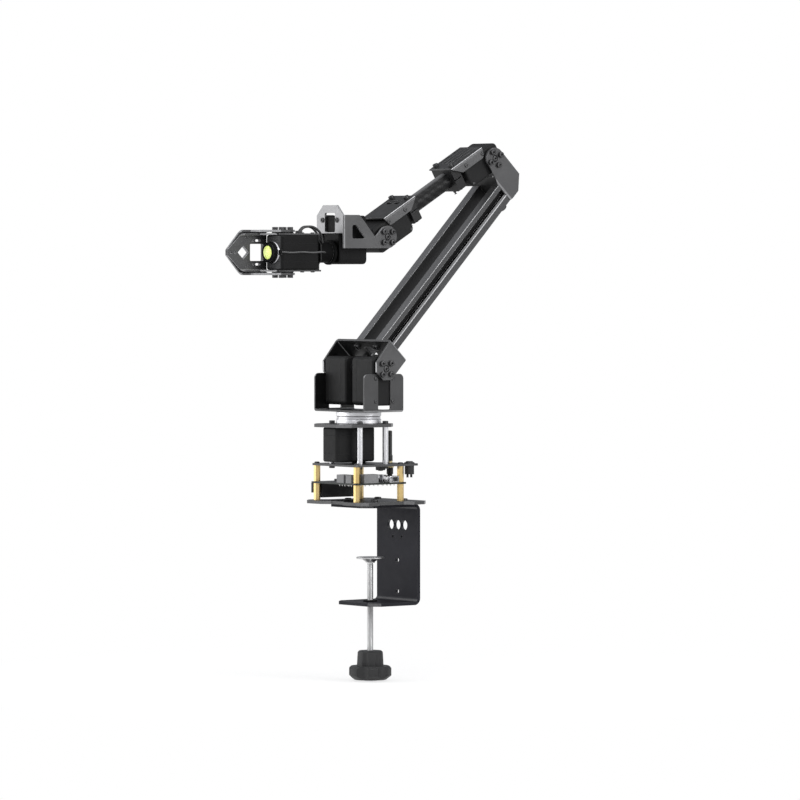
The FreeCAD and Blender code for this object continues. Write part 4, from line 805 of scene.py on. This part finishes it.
def both_sides(link, spots, out):
    """Places on the two sides of a link, at (x, z) spots and a distance out along Y."""
    return [facing(link, (x, side * out, z), (0, side, 0)) for side in (1, -1) for x, z in spots]


def on_top(spots, z, way=1):
    return [facing(base, (x, y, z), (0, 0, way)) for x, y in spots]


def corners(x, y):
    return [(sx * x, sy * y) for sx in (-1, 1) for sy in (-1, 1)]


# Screws that stand for nodes
grip_hold = fork_sheet + 0.6 * mm
elbow_start = math.radians(14.5)
wrist_start = math.radians(45)
jaw_start = math.radians(45)
elbow_places = fork_ring(arm, elbow_offset, upper_reach, fork_out, elbow_start)
wrist_places = fork_ring(hand, 0, 0, fork_out, wrist_start)
screw_set("shoulder_cap_screws", cap_screw(grip_hold), fork_ring(arm, 0, 0, shoulder_out, 0), "upper_arm",
          "shoulder_screws")
screw_set("elbow_cap_screws", cap_screw(grip_hold), elbow_places, "upper_arm", "elbow_screws")
screw_set("wrist_cap_screws", cap_screw(grip_hold), wrist_places, "wrist", "wrist_screws")
screw_set("jaw_cap_screws", cap_screw(grip_hold), jaw_ring(jaw_start), "jaw", "jaw_screws")
screw_set("rail_end_bolts", rail_bolt(), rail_bolt_places(), "upper_arm", "rail_bolts")
pinch_at = servo_end + 9.35 * mm
pinch_long = 24.9 * mm
pinch_places = [facing(forearm, (x, y, cover_rise), (0, 0, 1)) for x in (pinch_at, forearm_reach - pinch_at)
                for y in (-pinch_side, pinch_side)]
screw_set("tube_pinch_bolts", cap_screw(pinch_long), pinch_places, "forearm", "pinch_bolts")

# Screws in the middle of the horns, inside the wrench holes of the forks
shoulder_middles = both_sides(arm, [(0, 0)], shoulder_out - fork_sheet)
elbow_middles = both_sides(arm, [(elbow_offset, upper_reach)], fork_in)
jaw_middles = [facing(grip, (gripper_axis, 0, side * fork_in), (0, 0, side)) for side in (1, -1)]
screw_set("shoulder_middle_screws", middle_screw(), shoulder_middles, "upper_arm")
screw_set("elbow_middle_screws", middle_screw(), elbow_middles, "upper_arm")
screw_set("wrist_middle_screws", middle_screw(), both_sides(hand, [(0, 0)], fork_in), "wrist")
screw_set("jaw_middle_screws", middle_screw(), jaw_middles, "jaw")

# Small screws of the forearm
elbow_cover_in = 6.5 * mm
wrist_cover_in = 7.2 * mm
cover_screw_in = (2.7 * mm, 25.2 * mm)
cover_screw_rise = 10.4 * mm
cover_spots = [(elbow_cover_in + x, cover_screw_rise) for x in cover_screw_in]
cover_spots += [(forearm_reach - wrist_cover_in - x, cover_screw_rise) for x in cover_screw_in]
screw_set("cover_side_screws", low_screw(), both_sides(forearm, cover_spots, cover_half), "forearm")
lid_screw_in = 31.0 * mm
lid_screw_drop = 9.2 * mm
lid_spots = [(x, -lid_screw_drop) for x in (lid_screw_in, forearm_reach - lid_screw_in)]
lid_screw = button_screw(head_r=1.3 * mm, head_h=0.5 * mm)
screw_set("servo_lid_screws", lid_screw, both_sides(forearm, lid_spots, servo_depth / 2), "forearm")
grub_drop = 8.1 * mm
grub_places = [facing(forearm, (x, 0, -grub_drop), (0, 0, -1)) for x in (pinch_at, forearm_reach - pinch_at)]
screw_set("tube_grub_screws", button_screw(head_r=1.6 * mm, head_h=5.0 * mm), grub_places, "forearm")

# Small screws of the turret, wrist and hand
yoke_screw_x = (9.3 * mm, -10.5 * mm)
yoke_screw_z = (99.0 * mm, 120.4 * mm)
yoke_spots = [(x, z) for x in yoke_screw_x for z in yoke_screw_z]
screw_set("yoke_side_screws", low_screw(), both_sides(base, yoke_spots, yoke_half), "turret")
head_screw_side = 11.0 * mm
head_screw_rise = 15.6 * mm
head_places = [facing(hand, (wrist_front, y, head_screw_rise), (1, 0, 0))
               for y in (-head_screw_side, head_screw_side)]
head_screw = button_screw(head_r=2.4 * mm, head_h=1.4 * mm, shank_long=5.0 * mm)
screw_set("wrist_head_screws", head_screw, head_places, "wrist")
plate_screw_in = (9.0 * mm, 21.0 * mm)
plate_screw_side = 8.0 * mm
plate_places = [facing(grip, (hand_back + x, y, side * plate_half), (0, 0, side)) for side in (1, -1)
                for x in plate_screw_in for y in (-plate_screw_side, plate_screw_side)]
screw_set("hand_plate_screws", low_screw(), plate_places, "hand")

# Small screws of the base, and the buttons on the rails' backs
post_x = 15.0 * mm
post_y = 21.2 * mm
post_spots = corners(post_x, post_y)
deck_screw_long = 3.0 * mm
screw_set("deck_screws", cap_screw(deck_screw_long), on_top(post_spots, deck_top), "base")
screw_set("tray_underside_screws", cap_screw(tray_sheet), on_top(post_spots, tray_low, -1), "base")
stand_x = 25.5 * mm
stand_y = 30.5 * mm
stand_places = on_top(corners(stand_x, stand_y), tray_top)
screw_set("tray_corner_screws", button_screw(head_r=2.5 * mm, head_h=1.4 * mm), stand_places, "base")
clamp_screw_x = (-38.0 * mm, -3.0 * mm)
clamp_screw_y = 20.0 * mm
clamp_spots = [(x, y) for x in clamp_screw_x for y in (-clamp_screw_y, clamp_screw_y)]
clamp_places = on_top(clamp_spots, base_top)
screw_set("clamp_flange_screws", button_screw(head_r=3.4 * mm, head_h=1.7 * mm), clamp_places, "base")
rear_button_in = 9.0 * mm
rear_places = [facing(arm, (-rail_deep / 2, y, rail_end - rear_button_in), (-1, 0, 0))
               for y in (-rail_apart / 2, rail_apart / 2)]
screw_set("rail_rear_buttons", button_screw(head_r=4.4 * mm, head_h=2.4 * mm), rear_places, "upper_arm")


# Upper arm: the rails with the bevelled mouth of their slots
def slotted_rail(side):
    """Rail drawn along its link: a square bar with a slot down its outer face, the mouth bevelled."""
    middle = side * rail_apart / 2
    half = rail_wide / 2
    bar = block((-rail_deep / 2, middle - half, shoulder_web), (rail_deep / 2, middle + half, rail_end))
    bevelled(edge_break, 2)
    face = middle + side * half
    beyond = 4.0 * mm
    inner, outer = sorted((face, face + side * mm))
    slot = block((slot_at - slot_mouth / 2, inner, shoulder_web - beyond),
                 (slot_at + slot_mouth / 2, outer, rail_end + beyond))
    pick_faces(slot, lambda out: out.y * side < -0.9)
    bpy.ops.mesh.inset(thickness=slot_bevel, depth=slot_bevel)
    pushed((0, -side * slot_straight, 0))
    return carved(bar, slot)


rails = [slotted_rail(side) for side in (1, -1)]
for bar in rails:
    bar.data.transform(arm)
dressed("slotted_rails", rails, "upper_arm", "rail_alloy", "left_rail", "right_rail", angle=flat_angle)


# Wrist: the bracket with the foot of its head cut away round the roll servo
def open_head():
    """Copy of the bracket's solid without the foot of its head, and without the bend below the cheeks."""
    nothing_picked()
    bracket = bpy.data.objects.new("bracket", frame["nodes"]["wrist_bracket"].data.copy())
    bpy.context.scene.collection.objects.link(bracket)
    bpy.context.view_layer.objects.active = bracket
    bracket.select_set(True)
    bpy.ops.object.mode_set(mode="EDIT")
    bpy.ops.mesh.select_all(action="SELECT")
    bpy.ops.mesh.remove_doubles(threshold=0.001 * mm)
    for half, top in ((head_clear, head_foot), (fork_out + mm, -cheek_low)):
        foot = block((wrist_front - bend_deep, -half, -2 * roll_drop), (wrist_front + mm, half, top))
        nothing_picked()
        foot.data.transform(hand)
        bracket = carved(bracket, foot)
    return bracket


dressed("open_wrist_bracket", [open_head()], "wrist", "black_sheet", "wrist_bracket", finish=head_sheet,
        angle=flat_angle)


# Table clamp: the thread of the rod, and the insert in the knob's foot
def threaded_rod():
    """Core of the clamp rod with its tip in the pad, and the ridge of its thread wound round it."""
    low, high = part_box("clamp_screw")
    rod_r = 3.0 * mm
    pitch = 1.0 * mm
    tip_r = 2.35 * mm
    tip_long = 3.6 * mm
    tip_round = 0.4 * mm
    core_r = rod_r - 0.55 * pitch
    neck = high.z - tip_long
    core = drum(core_r, low.z, neck, sides=24)
    stepped(core, tops, core_r - tip_r, (0, 0, high.z - neck))
    bevelled(tip_round, 2)
    nothing_picked()
    bpy.ops.mesh.primitive_circle_add(vertices=3, radius=pitch)
    ridge = bpy.context.object
    foot = low.z + pitch
    flank = 0.45 * pitch
    root = core_r - 0.05 * mm
    profile = ((root, foot - flank), (rod_r, foot), (root, foot + flank))
    for corner, (out, up) in zip(ridge.data.vertices, profile):
        corner.co = (out, 0, up)
    wind = ridge.modifiers.new("wind", "SCREW")
    wind.screw_offset = pitch
    wind.iterations = int((neck - foot) / pitch) - 1
    wind.steps = 20
    wind.render_steps = 20
    bpy.ops.object.modifier_apply(modifier=wind.name)
    bpy.ops.object.mode_set(mode="EDIT")
    bpy.ops.mesh.select_all(action="SELECT")
    bpy.ops.mesh.fill_holes(sides=4)
    bpy.ops.mesh.normals_make_consistent(inside=False)
    nothing_picked()
    for part in (core, ridge):
        part.data.transform(Matrix.Translation(((low.x + high.x) / 2, 0, 0)))
    return [core, ridge]


def knob_insert():
    """Round metal end of the rod showing in the knob's foot, with a dished middle."""
    low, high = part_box("clamp_knob")
    insert_r = 7.4 * mm
    proud = 0.9 * mm
    sunk = 0.2 * mm
    rim = 2.2 * mm
    dish = 0.5 * mm
    insert = drum(insert_r, low.z - proud, low.z + sunk, sides=40)
    rounded_rim(insert, bottoms, edge_break, 2)
    stepped(insert, bottoms, rim, (0, 0, dish))
    nothing_picked()
    insert.data.transform(Matrix.Translation(((low.x + high.x) / 2, (low.y + high.y) / 2, 0)))
    return insert


dressed("threaded_rod", threaded_rod(), "clamp_handle", "bright_steel", "clamp_screw")
dressed("knob_insert", [knob_insert()], "clamp_handle", "post_alloy")


# Lamp: a bright bezel round the foot of its body
def lamp_bezel():
    """Ring with a rounded front."""
    ring_r = 10.6 * mm
    ring_h = 1.6 * mm
    hole_r = 9.9 * mm
    front_round = 0.7 * mm
    bezel = drum(ring_r, 0.0, ring_h, sides=64)
    rounded_rim(bezel, tops, front_round, 4)
    return carved(bezel, drum(hole_r, -mm, 3 * mm, sides=64))


bezel_places = [facing(grip, (lamp_foot, 0, 0), (1, 0, 0))]
dressed("lamp_bezel", copies(lamp_bezel(), bezel_places), "hand", "cage_metal")


# Dressing of the driver board
def capacitor():
    """Can with a narrower foot and a rim round its top."""
    can_r = 2.4 * mm
    can_top = 6.2 * mm
    rim = 0.3 * mm
    dip = 0.25 * mm
    foot_in = 0.25 * mm
    foot_h = 0.6 * mm
    can = drum(can_r, foot_h, can_top, sides=28)
    rounded_rim(can, tops, edge_break, 3)
    stepped(can, tops, rim, (0, 0, -dip))
    stepped(can, bottoms, foot_in, (0, 0, -foot_h))
    nothing_picked()
    return can


def chip_leg():
    """Bent leg of a chip: out of its side, down and flat on the board."""
    leg_wide = 0.4 * mm
    leg_thick = 0.2 * mm
    drop = 0.9 * mm
    reach = 0.7 * mm
    slope = 0.25 * mm
    foot = 0.6 * mm
    leg = block((0, -leg_wide / 2, drop), (reach, leg_wide / 2, drop + leg_thick))
    pick_faces(leg, lambda out: out.x > 0.9)
    pushed((slope, 0, -drop))
    pushed((foot, 0, 0))
    nothing_picked()
    return leg


def solder_tail():
    """Cone of solder under the board with the clipped pin at its tip."""
    cone_r = 0.75 * mm
    cone_h = 0.4 * mm
    pin_r = 0.35 * mm
    pin_long = 1.1 * mm
    tail = drum(cone_r, -cone_h, 0.0, sides=10)
    stepped(tail, bottoms, cone_r - pin_r, (0, 0, -pin_long))
    nothing_picked()
    return tail


def metal_shell(low, high, wall):
    """Open-fronted can of a data socket, its mouth along +Y."""
    mouth_deep = 5.0 * mm
    shell = block(low, high)
    bevelled(edge_round, 2)
    stepped(shell, lambda out: out.y > 0.9, wall, (0, -mouth_deep, 0))
    nothing_picked()
    return shell


def plug_sleeve():
    """Rubber boot of the aerial's plug, waisted under its collar."""
    collar_r = 3.1 * mm
    collar_top = -2.6 * mm
    collar_low = -8.6 * mm
    waist_in = 0.8 * mm
    waist_long = 3.0 * mm
    sleeve = drum(collar_r, collar_low, collar_top, sides=28)
    stepped(sleeve, bottoms, waist_in, (0, 0, -waist_long))
    bevelled(edge_round, 2)
    nothing_picked()
    return sleeve


def relay_box():
    """Small module hung under the tray, with a stepped foot."""
    low = (-11.0 * mm, 20.2 * mm, -3.8 * mm)
    high = (-4.4 * mm, 26.4 * mm, 0)
    foot_in = 1.2 * mm
    foot_h = 0.6 * mm
    box = block(low, high)
    rounded_rim(box, bottoms, edge_round, 2)
    stepped(box, bottoms, foot_in, (0, 0, -foot_h))
    nothing_picked()
    return box


aerial_x = -33.7 * mm
aerial_y = 4.0 * mm
dressed("aerial_plug_sleeve", copies(plug_sleeve(), [Matrix.Translation((aerial_x, aerial_y, tray_low))]),
        "base", "antenna_rubber")
dressed("tray_module", copies(relay_box(), [Matrix.Translation((0, 0, tray_low))]), "base", "black_moulding")
can_spots = ((14.6 * mm, 21.5 * mm), (-22.0 * mm, 12.0 * mm), (-22.0 * mm, 5.0 * mm))
dressed("board_capacitors", copies(capacitor(), on_top(can_spots, board_top)), "base", "cage_metal")
legs_a_side = 7
leg_pitch = 2.4 * mm
chip_front = 2.0 * mm
chip_rear = -16.0 * mm
chip_y = -2.0 * mm
leg_places = []
for i in range(legs_a_side):
    y = (i - legs_a_side // 2) * leg_pitch + chip_y
    leg_places.append(Matrix.Translation((chip_front, y, board_top)))
    leg_places.append(Matrix.Translation((chip_rear, y, board_top)) @ Matrix.Rotation(math.pi, 4, "Z"))
dressed("chip_legs", copies(chip_leg(), leg_places), "base", "bright_steel")
tails_mm = [(x, y) for x in (-18, -14, -10, -4, 1, 6, 11, 16) for y in (24.5, 30.5)]
tails_mm += [(x, y) for x in (20.0, 26.0) for y in (5, 9, 13, 19, 23)]
tail_places = [Matrix.Translation((x * mm, y * mm, board_low)) for x, y in tails_mm]
dressed("solder_tails", copies(solder_tail(), tail_places), "base", "bright_steel")
can_low = (-20.6 * mm, 25.2 * mm, board_top)
can_high = (-9.4 * mm, 34.9 * mm, board_top + 6.0 * mm)
dressed("data_socket_can", [metal_shell(can_low, can_high, wall=0.5 * mm)], "base", "cage_metal")


# Camera, light and floor
def look_from(spot, target):
    return (Vector(target) - Vector(spot)).to_track_quat("-Z", "Y").to_euler()


to_camera = Vector((math.sin(view_turn) * math.cos(view_rise), -math.cos(view_turn) * math.cos(view_rise),
                    math.sin(view_rise)))
picture_right = Vector((math.cos(view_turn), math.sin(view_turn), 0))
eye = view_aim + to_camera * view_reach
lens = bpy.data.cameras.new("reference_view")
lens.sensor_width = sensor_mm
lens.lens = px_per_mm * 1000 * view_reach * sensor_mm / picture_px
lens.clip_end = 50
camera = bpy.data.objects.new("reference_view", lens)
camera.location = eye
camera.rotation_euler = look_from(eye, view_aim)
bpy.context.scene.collection.objects.link(camera)
bpy.context.scene.camera = camera
bpy.context.scene.view_settings.view_transform = "Standard"


def softbox(name, right, toward, up, wide, tall, watts):
    """Area lamp placed by how far it stands to the picture's right, towards the camera and up."""
    level = Vector((to_camera.x, to_camera.y, 0))
    spot = view_aim + picture_right * right + level * toward + Vector((0, 0, up))
    lamp = bpy.data.lights.new(name, "AREA")
    lamp.shape = "RECTANGLE"
    lamp.size = wide
    lamp.size_y = tall
    lamp.energy = watts
    holder = bpy.data.objects.new(name, lamp)
    holder.location = spot
    holder.rotation_euler = look_from(spot, view_aim)
    bpy.context.scene.collection.objects.link(holder)


softbox("left_softbox", right=-1.6, toward=-0.1, up=0.4, wide=2.0, tall=2.0, watts=25)
softbox("right_softbox", right=1.5, toward=0.9, up=0.75, wide=1.0, tall=1.3, watts=21)
softbox("front_softbox", right=-0.3, toward=2.2, up=1.1, wide=1.6, tall=1.0, watts=20)
softbox("top_softbox", right=0.1, toward=0.5, up=1.7, wide=1.6, tall=1.6, watts=20)

world = bpy.data.worlds.new("studio")
bpy.context.scene.world = world
world.use_nodes = True
sky = world.node_tree
path = add(sky, "ShaderNodeLightPath")
seen = math_node(sky, "MAXIMUM", path.outputs["Is Camera Ray"], path.outputs["Is Transmission Ray"])
room = add(sky, "ShaderNodeBackground", {"Color": (0.93, 0.95, 1.0, 1.0), "Strength": 0.42})
white = add(sky, "ShaderNodeBackground", {"Color": (1, 1, 1, 1), "Strength": 1.0})
either = add(sky, "ShaderNodeMixShader", {0: seen, 1: room.outputs[0], 2: white.outputs[0]})
sky.links.new(either.outputs[0], sky.nodes["World Output"].inputs["Surface"])

floor_gap = 1.5 * mm
shadow_near = 0.12
shadow_far = 0.45
near_glow = 0.72
bpy.ops.object.select_all(action="DESELECT")
bpy.ops.mesh.primitive_plane_add(size=30, location=(view_aim.x, view_aim.y, cad_box[0][2] - floor_gap))
floor = bpy.context.object
floor.name = "floor"
paper = bpy.data.materials.new("pale_floor")
paper.use_nodes = True
tree = paper.node_tree
path = add(tree, "ShaderNodeLightPath")
seen = math_node(tree, "MAXIMUM", path.outputs["Is Camera Ray"], math_node(
    tree, "MAXIMUM", path.outputs["Is Glossy Ray"], path.outputs["Is Transmission Ray"]))
glow = add(tree, "ShaderNodeEmission", {"Color": (1, 1, 1, 1), "Strength": 1.0})
matt = add(tree, "ShaderNodeBsdfDiffuse", {"Color": (0.86, 0.86, 0.86, 1)})
away = add(tree, "ShaderNodeVectorMath", {0: add(tree, "ShaderNodeTexCoord").outputs["Object"]},
           operation="LENGTH").outputs["Value"]
share = math_node(tree, "MULTIPLY", seen, spread(tree, away, shadow_near, shadow_far, near_glow, 1.0))
either = add(tree, "ShaderNodeMixShader", {0: share, 1: matt.outputs[0], 2: glow.outputs[0]})
tree.links.new(either.outputs[0], tree.nodes["Material Output"].inputs["Surface"])
floor.data.materials.append(paper)
